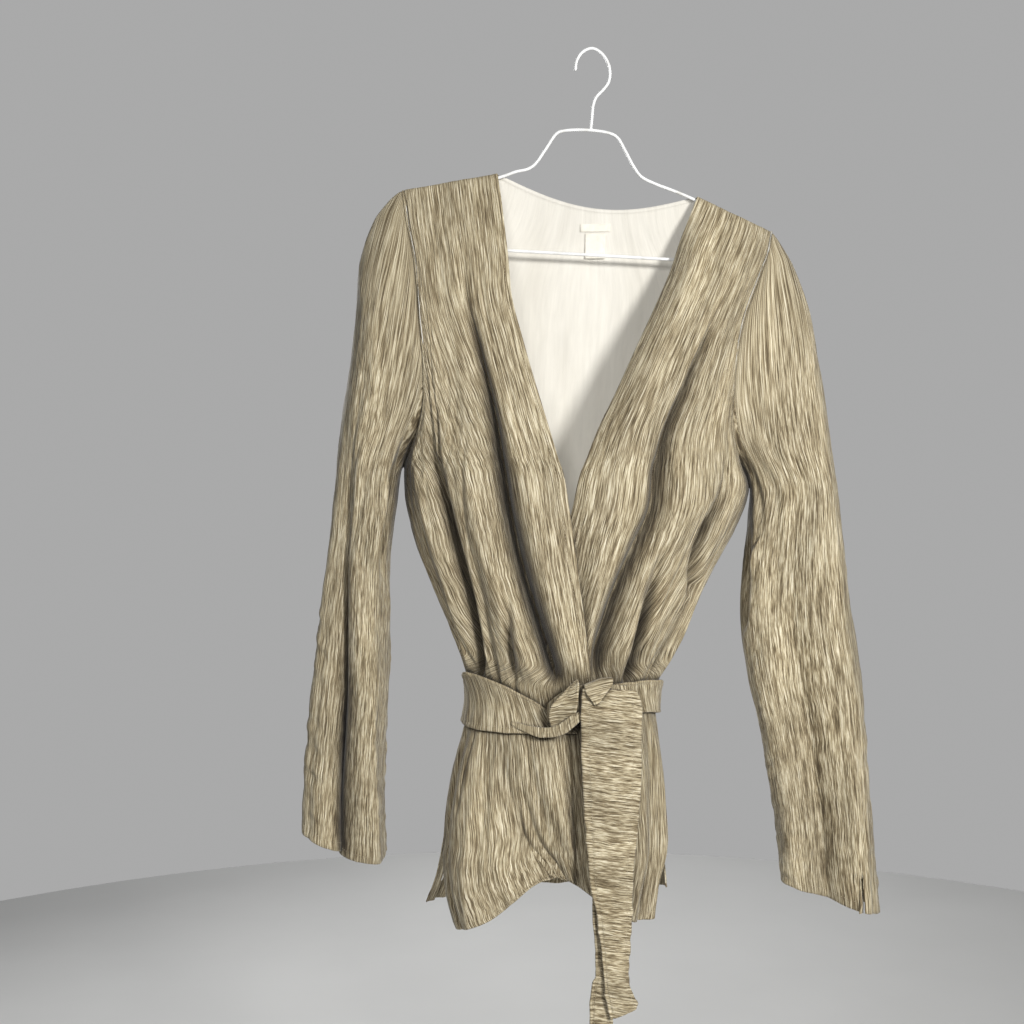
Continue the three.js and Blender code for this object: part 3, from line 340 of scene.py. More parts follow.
def pressed(row):
    """The belt presses the folds nearly flat at the waist."""
    return mix(0.2, 1, smooth((np.abs(row - WAIST) - 0.45) / 0.9))


def panel_folds(folds, creases, across, row):
    creased = fold_height(creases, across, row, power=CREASE_POWER)
    return fold_height(folds, across, row) * pressed(row) + creased * pressed(row)


def gathers(u, row, seed):
    """Small gathers that run up and down from the belt, and the crinkle all over the cloth."""
    above = smooth((row - 10.2) / 3.2) * (row < WAIST)
    below = smooth((18 - row) / 3.2) * (row >= WAIST)
    drawn = (above + below) * pressed(row)
    v = row * ROW_LENGTH
    fine = 0.42 * noise(u / 7, v / 60, seed) + 0.26 * noise(u / 3.6, v / 26, seed + 1)
    cross = 0.16 * noise(u / 12, v / 6, seed + 2)
    drawn_in = 1.1 * noise(u / 8.5, v / 150, seed + 3)
    broad = 1.0 * noise(u / 30, v / 120, seed + 4)
    return fine + cross + (drawn_in * drawn) + broad * pressed(row)


def section(row, back):
    right, left = along(SIDE_RIGHT, "x", row), along(SIDE_LEFT, "x", row)
    if back:
        right = right + along(SIDE_RIGHT, "xBack", row)
        left = left + along(SIDE_LEFT, "xBack", row)
    return right, left, (right + left) / 2, (left - right) / 2


def edge_angle(x, row):
    _, _, middle, half = section(row, False)
    return np.arccos(np.clip(signed_power((x - middle) / half, 1 / ELLIPSE_POWER), -1, 1))


def roll(row):
    return SHOULDER_ROLL * np.sqrt(1 - np.exp(-20 * row)) * (1 - smooth((row - 4) / 4))


def front_face(angle, row, side, out):
    """The front's outer face at an angle round the section (180 degrees at the wearer's right)."""
    right, left, middle, half = section(row, False)
    cos = signed_power(np.cos(angle), ELLIPSE_POWER)
    sin = np.abs(np.sin(angle)) ** ELLIPSE_POWER
    x = middle + half * cos
    own = SIDE_RIGHT if side == "right" else SIDE_LEFT
    y = along(own, "yFront", row) * (1 - sin) - along(MIDDLE, "front", row) * sin - roll(row)
    share = (x - right) / (left - right)
    level = mix(along(SIDE_RIGHT, "z", row), along(SIDE_LEFT, "z", row), share)
    level = level - along(MIDDLE, "sag", row) * 4 * share * (1 - share)
    free_x = along(MIDDLE, "xRight" if side == "right" else "xLeft", row)
    free_z = along(MIDDLE, "zRight" if side == "right" else "zLeft", row)
    side_x = right if side == "right" else left
    sloping = mix(along(own, "z", row), free_z, (x - side_x) / (free_x - side_x))
    lower = np.clip((row - HEM_RISE_FROM) / (HEM - HEM_RISE_FROM), 0, 1) ** 1.6
    rise = along(HEM_RISE, "rise", 10 * share) * lower
    z = mix(sloping, level, smooth((row - ARMPIT + 1.5) / 1.5)) + rise
    depth = np.maximum(along(MIDDLE, "front", row) + SIDE_Y, 8)
    nx, ny = cos / half, -sin / depth
    size = np.hypot(nx, ny)
    return points(x + nx / size * out, y + ny / size * out, z)


def seam_pucker(across, row, seed):
    """The armhole and side seam lie in a shallow groove, and the cloth beside it puckers."""
    near = np.exp(-((across / 0.018) ** 2))
    beside = np.exp(-(((across - 0.035) / 0.03) ** 2))
    pucker = noise(row * 3.1, across * 9, seed)
    return -0.5 * near + 0.55 * pucker * beside


def over_fold(across, row):
    u = across * FRONT_RIGHT_WIDTH
    height = panel_folds(FRONT_RIGHT_FOLDS, FRONT_RIGHT_CREASES, across, row)
    hem = smooth((HEM - row) / 0.3)
    return height + gathers(u, row, 11) * mix(0.35, 1, hem) + seam_pucker(across, row, 12)


def front_right(across, row):
    inner = edge_angle(along(MIDDLE, "xRight", row), row)
    return front_face(mix(np.pi, inner, across), row, "right", over_fold(across, row))


VALLEY_SPREAD = 1.5  # the under panel's valleys are wider
UNDER_EASE = 0.1
OVER_VALLEYS = [fold for fold in FRONT_RIGHT_FOLDS if fold[4] < 0]
NECK_ROLL = {"from": 0.86, "depth": 16}


def front_left(across, row):
    """The under panel: beneath the over panel it follows that panel's valleys, and above the
    crossing its free edge rolls back."""
    inner = edge_angle(along(MIDDLE, "xLeft", row), row)
    angle = inner * across
    over_edge = edge_angle(along(MIDDLE, "xRight", row), row)
    under = smooth((angle - over_edge + UNDER_EASE) / UNDER_EASE) * smooth((row - 6) / 1.5)
    over_across = np.clip((np.pi - angle) / (np.pi - over_edge), 0, 1)
    over = fold_height(OVER_VALLEYS, over_across, row, VALLEY_SPREAD) * pressed(row) - UNDERLAP_GAP
    own = panel_folds(FRONT_LEFT_FOLDS, FRONT_LEFT_CREASES, across, row)
    own = own + gathers(across * FRONT_LEFT_WIDTH, row, 21) + seam_pucker(across, row, 22)
    share = np.clip((across - NECK_ROLL["from"]) / (1 - NECK_ROLL["from"]), 0, 1) ** 2.4
    rolled = share * smooth(row / 1.5) * smooth((9 - row) / 3)
    return front_face(angle, row, "left", mix(own, over, under) - NECK_ROLL["depth"] * rolled)


def back_top(x):
    n = BACK_NECK
    arch = np.sin(np.pi * np.clip((x - n["from_x"]) / (n["to_x"] - n["from_x"]), 0, 1))
    right_x, left_x = SIDE_RIGHT["x"][0], SIDE_LEFT["x"][0]
    heights = [SIDE_RIGHT["z"][0], n["from_z"], n["to_z"], SIDE_LEFT["z"][0]]
    line = np.interp(x, [right_x, n["from_x"], n["to_x"], left_x], heights)
    return n["depth"] * np.sqrt(np.maximum(arch, 0)), line - n["drop"] * arch


def back(across, row):
    """The back's outer face, across from the wearer's right (0) to left (1)."""
    right, left, middle, half = section(row, True)
    angle = np.pi * (1 - across)
    cos = mix(2 * across - 1, signed_power(np.cos(angle), ELLIPSE_POWER), smooth(row / 3))
    sin = np.abs(np.sin(angle)) ** ELLIPSE_POWER
    x = middle + half * cos
    share = (cos + 1) / 2
    side_y = mix(along(SIDE_RIGHT, "yBack", row), along(SIDE_LEFT, "yBack", row), share)
    hanging = side_y * (1 - sin) + along(MIDDLE, "back", row) * sin
    top_y, top_z = back_top(x)
    at_top = np.clip(1 - row / ARMPIT, 0, 1) ** 2
    blend = np.where(row < 1e-9, 1, at_top * 0.5 * smooth((3 - row) / 3))
    y = mix(hanging, top_y, blend) + roll(row) + SEAM_GAP
    right_z = along(SIDE_RIGHT, "z", row) + along(SIDE_RIGHT, "zBack", row)
    left_z = along(SIDE_LEFT, "z", row) + along(SIDE_LEFT, "zBack", row)
    top_level = mix(SIDE_RIGHT["z"][0], SIDE_LEFT["z"][0], share)
    z = mix(right_z, left_z, share) + (top_z - top_level) * at_top
    edge = np.minimum(across, 1 - across)
    out = panel_folds(BACK_FOLDS, BACK_CREASES, across, row)
    out = out + gathers(across * BACK_WIDTH, row, 31) * smooth(row / 2) + seam_pucker(edge, row, 32)
    nx, ny = cos / half, sin / (along(MIDDLE, "back", row) + SIDE_Y)
    size = np.maximum(np.hypot(nx, ny), 1e-9)
    return points(x + nx / size * out, y + ny / size * out, z)


# Making meshes

SEAM_COLUMNS = 5
RIM_REACH = 0.35  # how far a rim's middle stands out, as a share of the cloth's thickness


def unit(v):
    return v / np.maximum(np.linalg.norm(v, axis=-1, keepdims=True), 1e-9)


def grid_normals(grid, closed):
    """Unit normals of a grid of points, along down x across."""
    if closed:
        across = np.roll(grid, -1, axis=1) - np.roll(grid, 1, axis=1)
    else:
        across = np.gradient(grid, axis=1)
    return unit(np.cross(np.gradient(grid, axis=0), across))


def make_mesh(name, vertices, faces, uvs, slots, materials):
    """A mesh object in metres from millimetre vertices. uvs has one pair for each vertex."""
    mesh = bpy.data.meshes.new(name)
    vertices = (np.asarray(vertices, float) + (HOOK_SHIFT, 0, 0)) * MM
    mesh.from_pydata(vertices.tolist(), [], faces)
    for material in materials:
        mesh.materials.append(material)
    mesh.polygons.foreach_set("material_index", np.asarray(slots, np.int32))
    mesh.polygons.foreach_set("use_smooth", np.ones(len(faces), bool))
    corner = np.empty(len(mesh.loops), np.int32)
    mesh.loops.foreach_get("vertex_index", corner)
    layer = mesh.uv_layers.new(name="grain")
    layer.data.foreach_set("uv", np.asarray(uvs, np.float32)[corner].ravel())
    mesh.update()
    mesh.validate()
    piece = bpy.data.objects.new(name, mesh)
    bpy.context.scene.collection.objects.link(piece)
    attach(piece, "root")
    return piece


def stands_for(piece, node):
    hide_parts(node)
    return piece


def shell(
    name, grid, u, v, materials, thickness=CLOTH, flip=False, closed=False, slit=None, facing=None, seams=()
):
    """A wall of cloth with round edges from a grid of outer points. materials are the outer
    face's and the inner face's. Below slit's row the wall is cut open along its column. facing
    marks the cells whose inner face is turned-in knit. seams are the edge columns, 0 or -1, where
    the cloth turns sharply; there the wall keeps the direction that it has a little further in."""
    rows, columns = grid.shape[:2]
    normal = grid_normals(grid, closed) * (-1 if flip else 1)
    for edge in seams:
        strip = slice(0, SEAM_COLUMNS) if edge == 0 else slice(-SEAM_COLUMNS, None)
        normal[:, strip] = normal[:, [SEAM_COLUMNS if edge == 0 else -SEAM_COLUMNS - 1]]
    outer = grid.reshape(-1, 3)
    inner = (grid - normal * thickness).reshape(-1, 3)
    index = np.arange(rows * columns).reshape(rows, columns)
    cells = np.concatenate([index, index[:, :1]], axis=1) if closed else index
    a, b, c, d = cells[:-1, :-1], cells[1:, :-1], cells[1:, 1:], cells[:-1, 1:]
    quads = np.stack([a, b, c, d], axis=-1)
    grain = np.stack([u, v], axis=-1).reshape(-1, 2)
    if slit:
        outer, inner, grain, quads = cut_slit(slit, quads, outer, inner, grain, columns)
    quads = quads.reshape(-1, 4)
    if flip:
        quads = quads[:, ::-1]
    reverse_slots = np.ones(len(quads), int) if facing is None else 1 - facing.astype(int).ravel()
    return close_shell(name, outer, inner, grain, quads, reverse_slots, materials, thickness)


def cut_slit(slit, quads, outer, inner, grain, columns):
    """Doubles the vertices below the slit's head, and parts its edges."""
    j = np.arange(slit["row"] + 1, quads.shape[0] + 1)
    old = j * columns + slit["column"]
    new = len(outer) + np.arange(len(j))
    share = ((j - slit["row"]) / (quads.shape[0] - slit["row"]))[:, None] ** 0.8
    step = share * np.array(slit["gape"], float)
    outer = np.concatenate([outer, outer[old] + step])
    inner = np.concatenate([inner, inner[old] + step])
    grain = np.concatenate([grain, grain[old]])
    copies = dict(zip(old.tolist(), new.tolist()))
    for row in range(slit["row"], quads.shape[0]):
        cell = quads[row, slit["column"]]
        for k in (0, 1):
            cell[k] = copies.get(int(cell[k]), cell[k])
    return outer, inner, grain, quads


def close_shell(name, outer, inner, grain, quads, reverse_slots, materials, thickness):
    """Joins an outer and an inner layer of quads with rounded rims where they end."""
    count = len(outer)
    edges = np.concatenate([quads[:, [k, (k + 1) % 4]] for k in range(4)])
    key = edges[:, 0].astype(np.int64) * (count + 1) + edges[:, 1]
    opposite = edges[:, 1].astype(np.int64) * (count + 1) + edges[:, 0]
    rim = edges[~np.isin(key, opposite)]
    used = np.unique(rim)
    # A rim's middle stands a little past the cloth's edge, away from the nearest inner vertex.
    away = np.zeros((count, 3))
    for k in range(4):
        one, two = quads[:, k], quads[:, (k + 2) % 4]
        np.add.at(away, one, outer[one] - outer[two])
    middle = (outer[used] + inner[used]) / 2 + unit(away[used]) * thickness * RIM_REACH
    place = np.full(count, -1)
    place[used] = 2 * count + np.arange(len(used))
    m, n = rim[:, 0], rim[:, 1]
    outer_rim = np.stack([n, m, place[m], place[n]], axis=1)
    inner_rim = np.stack([place[n], place[m], count + m, count + n], axis=1)
    faces = np.concatenate([quads, quads[:, ::-1] + count, outer_rim, inner_rim])
    slots = np.concatenate([np.zeros(len(quads), int), reverse_slots, np.zeros(2 * len(rim), int)])
    vertices = np.concatenate([outer, inner, middle])
    uvs = np.concatenate([grain, grain, grain[used]])
    return make_mesh(name, vertices, faces.tolist(), uvs, slots, materials)


STITCH_PITCH = 3.3
STITCH_LENGTH = 2.3
STITCH_RADIUS = 0.3
STITCH_START = 1.5


def stitch(node, grid, rows, flip=False, closed=False):
    """Rows of small thread stitches on a grid's outer face, each along one row or column of it."""
    normals = grid_normals(grid, closed) * (-1 if flip else 1)
    vertices, faces = [], []
    for pick in rows:
        line, normal = grid[pick], normals[pick]
        step = np.linalg.norm(np.diff(line, axis=0), axis=1)
        place = np.concatenate([[0], np.cumsum(step)])
        for start in np.arange(STITCH_START, place[-1] - STITCH_LENGTH, STITCH_PITCH):
            at = [start, start + STITCH_LENGTH / 2, start + STITCH_LENGTH]
            a, b, c = (np.array([np.interp(s, place, line[:, k]) for k in range(3)]) for s in at)
            up = unit(np.array([np.interp(at[1], place, normal[:, k]) for k in range(3)]))
            side = unit(np.cross(c - a, up)) * STITCH_RADIUS
            lift = up * STITCH_RADIUS
            base = len(vertices)
            vertices += [a - lift * 0.2, b + lift * 1.3, b + side]
            vertices += [b - lift * 0.5, b - side, c - lift * 0.2]
            for k in range(4):
                one, two = base + 1 + k, base + 1 + (k + 1) % 4
                faces += [[base, one, two], [base + 5, two, one]]
    uvs = np.array(vertices)[:, [0, 2]] * CM
    piece = make_mesh(f"stitches_{node}", vertices, faces, uvs, np.zeros(len(faces), int), (THREAD,))


# Materials


FULL_TURN = 6.2832  # radians


class Painter:
    """Short ways to add nodes to one material. A value is a number, a colour or a node's output."""

    def __init__(self, name):
        self.material = bpy.data.materials.new(name)
        self.material.use_nodes = True
        self.tree = self.material.node_tree

    def fill(self, node, values):
        for key, value in values.items():
            socket = node.inputs[key]
            if isinstance(value, (int, float)):
                socket.default_value = value
            elif isinstance(value, tuple):
                socket.default_value = (*value, 1)
            else:
                self.tree.links.new(value, socket)
        return node

    def node(self, kind, values, **settings):
        node = self.tree.nodes.new(kind)
        for key, value in settings.items():
            setattr(node, key, value)
        return self.fill(node, values)

    def math(self, operation, *values):
        return self.node("ShaderNodeMath", dict(enumerate(values)), operation=operation).outputs[0]

    def times(self, a, b):
        return self.math("MULTIPLY", a, b)

    def plus(self, a, b):
        return self.math("ADD", a, b)

    def wave(self, along, pitch):
        return self.math("SINE", self.times(along, FULL_TURN / pitch))

    def grain(self):
        """The cloth's own coordinates in centimetres: across the streaks, and along them."""
        source = self.node("ShaderNodeUVMap", {}, uv_map="grain")
        parts = self.node("ShaderNodeSeparateXYZ", {0: source.outputs[0]})
        return parts.outputs[0], parts.outputs[1]

    def noise(self, u, v, per_u, per_v, detail=2.0, roughness=0.55, layer=0.0):
        """Noise with so many cells to the centimetre across and along the streaks."""
        values = {0: self.times(u, per_u), 1: self.times(v, per_v), 2: layer}
        place = self.node("ShaderNodeCombineXYZ", values)
        return self.speckle(place.outputs[0], 1.0, detail, roughness)

    def speckle(self, place, scale, detail, roughness=0.5):
        values = {"Vector": place, "Scale": scale, "Detail": detail, "Roughness": roughness}
        return self.node("ShaderNodeTexNoise", values).outputs["Fac"]

    def ramp(self, factor, stops):
        node = self.node("ShaderNodeValToRGB", {0: factor})
        elements = node.color_ramp.elements
        while len(elements) < len(stops):
            elements.new(0.5)
        for element, (place, color) in zip(elements, stops):
            element.position = place
            element.color = (*color, 1)
        return node.outputs[0]

    def shaded(self, color, factor, stops):
        """The colour, darker or lighter by a ramp of greys or colours."""
        stops = [(place, tone if isinstance(tone, tuple) else (tone,) * 3) for place, tone in stops]
        values = {0: 1.0, 6: color, 7: self.ramp(factor, stops)}
        return self.node("ShaderNodeMix", values, data_type="RGBA", blend_type="MULTIPLY").outputs[2]

    def bump(self, height, distance, strength=1.0, under=None):
        values = {"Height": height, "Distance": distance, "Strength": strength}
        if under:
            values["Normal"] = under
        return self.node("ShaderNodeBump", values).outputs[0]

    def finish(self, color, roughness, specular, normal=None, **layers):
        """Sets the shader's own sockets."""
        values = {"Base Color": color, "Roughness": roughness, "Specular IOR Level": specular}
        if normal:
            values["Normal"] = normal
        values.update({key.replace("_", " ").title(): value for key, value in layers.items()})
        self.fill(self.tree.nodes["Principled BSDF"], values)
        return self.material


STREAKS = [
    (0.41, (0.085, 0.062, 0.032)),
    (0.46, (0.175, 0.135, 0.076)),
    (0.505, (0.315, 0.26, 0.16)),
    (0.56, (0.56, 0.495, 0.35)),
    (0.63, (0.72, 0.665, 0.52)),
]
# How far the painted shade in the folds looks for nearby cloth, and the ramp that darkens the colour by it.
PAINTED_SHADE_REACH = 0.035
PAINTED_SHADE_STOPS = [(0.3, (0.16, 0.15, 0.14)), (0.6, (0.55, 0.53, 0.5)), (0.9, (1.04, 1.04, 1.04))]


def knit(name, shade=1.0):
    """Space-dyed knit: cream and brown streaks along the wales, over fine stitches, with painted shade in
    the folds. A shade above 1 paints the whole copy lighter.
    """
    p = Painter(name)
    u, v = p.grain()
    for per_u, per_v, layer, swing in ((0.4, 0.14, 9.0, 0.3), (1.6, 0.9, 11.0, 0.07)):
        centred = p.math("SUBTRACT", p.noise(u, v, per_u, per_v, layer=layer), 0.5)
        u = p.plus(u, p.times(centred, swing))
    broad = p.noise(u, v, 6.0, 0.17, layer=1.0)
    fine = p.noise(u, v, 13.0, 0.42, roughness=0.6, layer=4.0)
    thin = p.noise(u, v, 24.0, 0.8, detail=1.0, layer=13.0)
    streak = p.plus(p.times(broad, 0.36), p.times(fine, 0.4))
    streak = p.plus(streak, p.times(thin, 0.24))
    patch = p.noise(u, v, 0.32, 0.07, detail=1.0, layer=7.0)
    color = p.shaded(p.ramp(streak, STREAKS), patch, [(0.3, 0.8 * shade), (0.7, 1.12 * shade)])
    # Painted shade: the colour darkens where ambient occlusion finds folds and hollows, standing in for the
    # shade that falls there.
    painted_shade_mask = p.node("ShaderNodeAmbientOcclusion", {"Distance": PAINTED_SHADE_REACH}, samples=6).outputs["AO"]
    color = p.shaded(color, painted_shade_mask, PAINTED_SHADE_STOPS)
    fibre = p.noise(u, v, 16.0, 3.0, layer=2.0)
    color = p.shaded(color, fibre, [(0.25, 0.84), (0.75, 1.14)])
    wale, course = p.wave(u, 0.13), p.wave(v, 0.11)
    stitch = p.plus(p.times(wale, 0.6), p.times(p.times(wale, course), 0.4))
    normal = p.bump(stitch, 0.00012, 0.5)
    normal = p.bump(streak, 0.001, 0.8, normal)
    normal = p.bump(p.noise(u, v, 2.4, 1.0, detail=3.0, layer=5.0), 0.0012, 0.7, normal)
    rough = p.math("SUBTRACT", 1.04, p.times(streak, 0.62))
    return p.finish(color, rough, 0.4, normal, sheen_weight=0.18, sheen_roughness=0.45)


def reverse(name):
    """The cloth's ivory reverse, with faint upright shades and fine stitches."""
    p = Painter(name)
    u, v = p.grain()
    shade = p.noise(u, v, 0.45, 0.05, detail=3.0, layer=3.0)
    ghost = p.noise(u, v, 3.0, 0.25, layer=6.0)
    color = p.ramp(shade, [(0.3, (0.54, 0.52, 0.47)), (0.7, (0.63, 0.612, 0.565))])
    color = p.shaded(color, ghost, [(0.35, 0.955), (0.65, 1.02)])
    normal = p.bump(p.times(p.wave(u, 0.14), p.wave(v, 0.12)), 0.0001, 0.5)
    normal = p.bump(ghost, 0.0006, 0.5, normal)
    # Painted light: the reverse glows a little, standing in for light that comes through the thin cloth
    # from behind.
    painted_glow = {"emission_color": (0.86, 0.83, 0.76), "emission_strength": 0.13}
    return p.finish(color, 0.86, 0.25, normal, sheen_weight=0.2, sheen_roughness=0.5, **painted_glow)


def woven_tape(name):
    p = Painter(name)
    u, v = p.grain()
    color = p.ramp(p.noise(u, v, 1.2, 1.2), [(0.3, (0.74, 0.71, 0.63)), (0.7, (0.83, 0.8, 0.73))])
    normal = p.bump(p.times(p.wave(u, 0.045), p.wave(v, 0.05)), 0.00008, 0.6)
    return p.finish(color, 0.62, 0.4, normal, sheen_weight=0.12, sheen_roughness=0.4)


def thread(name, color):
    p = Painter(name)
    u, v = p.grain()
    color = p.shaded(color, p.noise(u, v, 4.0, 4.0), [(0.3, 0.85), (0.7, 1.1)])
    normal = p.bump(p.wave(p.plus(u, v), 0.06), 0.00006, 0.6)
    return p.finish(color, 0.6, 0.4, normal, sheen_weight=0.15, sheen_roughness=0.4)


def coated_wire(name):
    """White plastic coating over wire, a little uneven and scuffed."""
    p = Painter(name)
    place = p.node("ShaderNodeTexCoord", {}).outputs["Object"]
    wear, lumps = p.speckle(place, 90.0, 4.0), p.speckle(place, 400.0, 2.0)
    stops = [(0.25, (0.62, 0.62, 0.6)), (0.45, (0.8, 0.81, 0.82)), (0.75, (0.86, 0.87, 0.88))]
    color = p.ramp(wear, stops)
    rough = p.math("MULTIPLY_ADD", wear, 0.25, 0.22)
    return p.finish(color, rough, 0.5, p.bump(lumps, 0.0002, 0.3), coat_weight=0.25, coat_roughness=0.3)


def plain(name, color, roughness):
    """The floor's paint, with a faint unevenness."""
    p = Painter(name)
    uneven = p.speckle(p.node("ShaderNodeTexCoord", {}).outputs["Object"], 3.0, 3.0)
    tone = p.ramp(uneven, [(0.3, tuple(c * 0.98 for c in color)), (0.7, tuple(c * 1.02 for c in color))])
    return p.finish(tone, roughness, 0.2)


KNIT = knit("streaked_knit")
# The belt's copy of the same knit is painted 4% lighter, standing in for the light on the belt.
BELT_KNIT_PAINTED_LIGHTER = knit("streaked_belt_knit_painted_lighter", 1.04)
REVERSE = reverse("ivory_reverse")
TAPE = woven_tape("woven_tape")
THREAD = thread("beige_thread", (0.42, 0.36, 0.25))
COATING = coated_wire("white_coating")
CLOTH_FACES = (KNIT, REVERSE)
BELT_FACES = (BELT_KNIT_PAINTED_LIGHTER, BELT_KNIT_PAINTED_LIGHTER)

# The panels

# The mesh's rows, by section: close together at the shoulder seam, and then at equal steps.
SHOULDER_ROWS = [0, 0.012, 0.03, 0.06, 0.1, 0.16, 0.24, 0.32, 0.4]
PANEL_ROWS = np.concatenate([SHOULDER_ROWS, np.arange(0.5, HEM + 1e-6, 0.0975)])
PANEL_ROWS[-1] = HEM
# How much wider than it looks the cloth is at each section, where the belt gathers it.
GATHERED_BELOW_ARMPIT = [1.02, 1.06, 1.1, 1.16, 1.22, 1.3, 1.34, 1.25, 1.16, 1.1, 1.06, 1.03, 1]
GATHERED = {"share": np.array([1] * ARMPIT + GATHERED_BELOW_ARMPIT)}
GRAIN_SHARE = 0.95
FACING_ROW = 19.2
FACING_SHARE = 0.045
VENT_ROW = 18
EDGE_STITCH = 7
HEM_STITCH_ROW = 19.72


def from_edge(grid, edge):
    """Each point's distance along its row from the row's first (0) or last (-1) point."""
    step = np.linalg.norm(np.diff(grid, axis=1), axis=2)
    length = np.concatenate([np.zeros((len(grid), 1)), np.cumsum(step, axis=1)], axis=1)
    return np.abs(length - length[:, [edge]])


# Each panel's face, columns and width, how its streaks run (the share that stays parallel to the
# free edge, while the rest keeps its place across the panel) and where its grain starts.
PANELS = {
    "front_right": (front_right, 168, FRONT_RIGHT_WIDTH, 0.8, 0),
    "front_left": (front_left, 156, FRONT_LEFT_WIDTH, 0.5, 900),
    "back": (back, 200, BACK_WIDTH, 0, 1900),
}


def make_panel(node, flip=False, mirrored=False):
    face, columns, width, parallel, offset = PANELS[node]
    across = np.linspace(0, 1, columns + 1)
    if mirrored:
        across = across[::-1]
    across, row = np.meshgrid(across, PANEL_ROWS)
    grid = face(across, row)
    free = 1 - across if node != "back" else across - 0.5
    distance = from_edge(grid, 0 if mirrored else -1) * along(GATHERED, "share", row) * GRAIN_SHARE
    u = mix(free * width, distance, parallel) + offset
    v = row * ROW_LENGTH
    cell_row, cell_across = row[:-1, :-1], across[:-1, :-1]
    edge_near = np.minimum(cell_across, 1 - cell_across) < FACING_SHARE
    facing = (cell_row > FACING_ROW) | (edge_near & (cell_row > VENT_ROW))
    if node != "back":
        facing |= cell_across > 1 - FACING_SHARE
    seams = (0, -1) if node == "back" else (-1 if mirrored else 0,)
    piece = shell(f"knit_{node}", grid, u * CM, v * CM, CLOTH_FACES, flip=flip, facing=facing, seams=seams)
    stands_for(piece, node)
    hem = int(np.argmin(np.abs(PANEL_ROWS - HEM_STITCH_ROW)))
    inset = round(EDGE_STITCH / width * columns)
    vent = int(np.argmin(np.abs(PANEL_ROWS - (VENT_ROW + 0.3))))
    free_column, side_column = (inset, -inset - 1) if mirrored else (-inset - 1, inset)
    edges = [np.s_[2:hem, free_column], np.s_[vent:hem, side_column]]
    if node == "back":
        edges = [np.s_[vent:hem, inset], np.s_[vent:hem, -inset - 1]]
    stitch(node, grid, [np.s_[hem, inset:-inset], *edges], flip)
    return piece


cloth_right = make_panel("front_right")
cloth_left = make_panel("front_left", mirrored=True)
cloth_back = make_panel("back", flip=True)


# The sleeves

SEAM_SINK = 1.1  # how far the seam's allowance sinks under the panels' edge
SINK_SHARES = (1, 0.45, 0.15)  # of that, in the first rows
LIP_DEPTH = 2.4
LIP_SIDEWAYS = 0.8
SLEEVE_STRAIGHT = {"right": 0.5, "left": 0.75}
SLEEVE_POWER = 0.9
SLEEVE_SEEDS = {"right": 41, "left": 51}
EASE_HEIGHT = 30  # the height over which folds grow, and the sleeve comes away from the armhole


def armhole(name, turn, at_front):
    """The points just outside the panels' side edges, at each turn from the armhole's top."""
    sign = -1 if name == "right" else 1
    edge_front = front_right if name == "right" else front_left
    back_side = 0.0 if name == "right" else 1.0
    row = ARMPIT * (turn / 180) ** (1 / ARMHOLE_SPREAD)
    start = np.where(at_front[..., None], edge_front(0 * row, row), back(back_side + 0 * row, row))
    start[..., 0] += sign * mix(SEAM_GAP + 0.2, 2, smooth(row - ARMPIT + 1))
    start[..., 2] -= 0.6 * smooth(row - ARMPIT + 1)
    armpit_z = edge_front(np.zeros(1), np.array([float(ARMPIT)]))[0, 2]
    return start, armpit_z


def add_allowance(grid, streak_angle, t, sign):
    """The first rows lie under the panels' edge, with one more row tucked in behind it."""
    inward = unit(grid[0].mean(axis=0) - grid[0])
    inward[:, 0] = -sign * LIP_SIDEWAYS
    for k, share in enumerate(SINK_SHARES):
        grid[k] += inward * SEAM_SINK * share
    grid = np.concatenate([(grid[0] + inward * LIP_DEPTH)[None], grid])
    streak_angle = np.concatenate([streak_angle[:1], streak_angle])
    return grid, streak_angle, np.concatenate([t[:1] - LIP_DEPTH / SLEEVE_LENGTH, t])


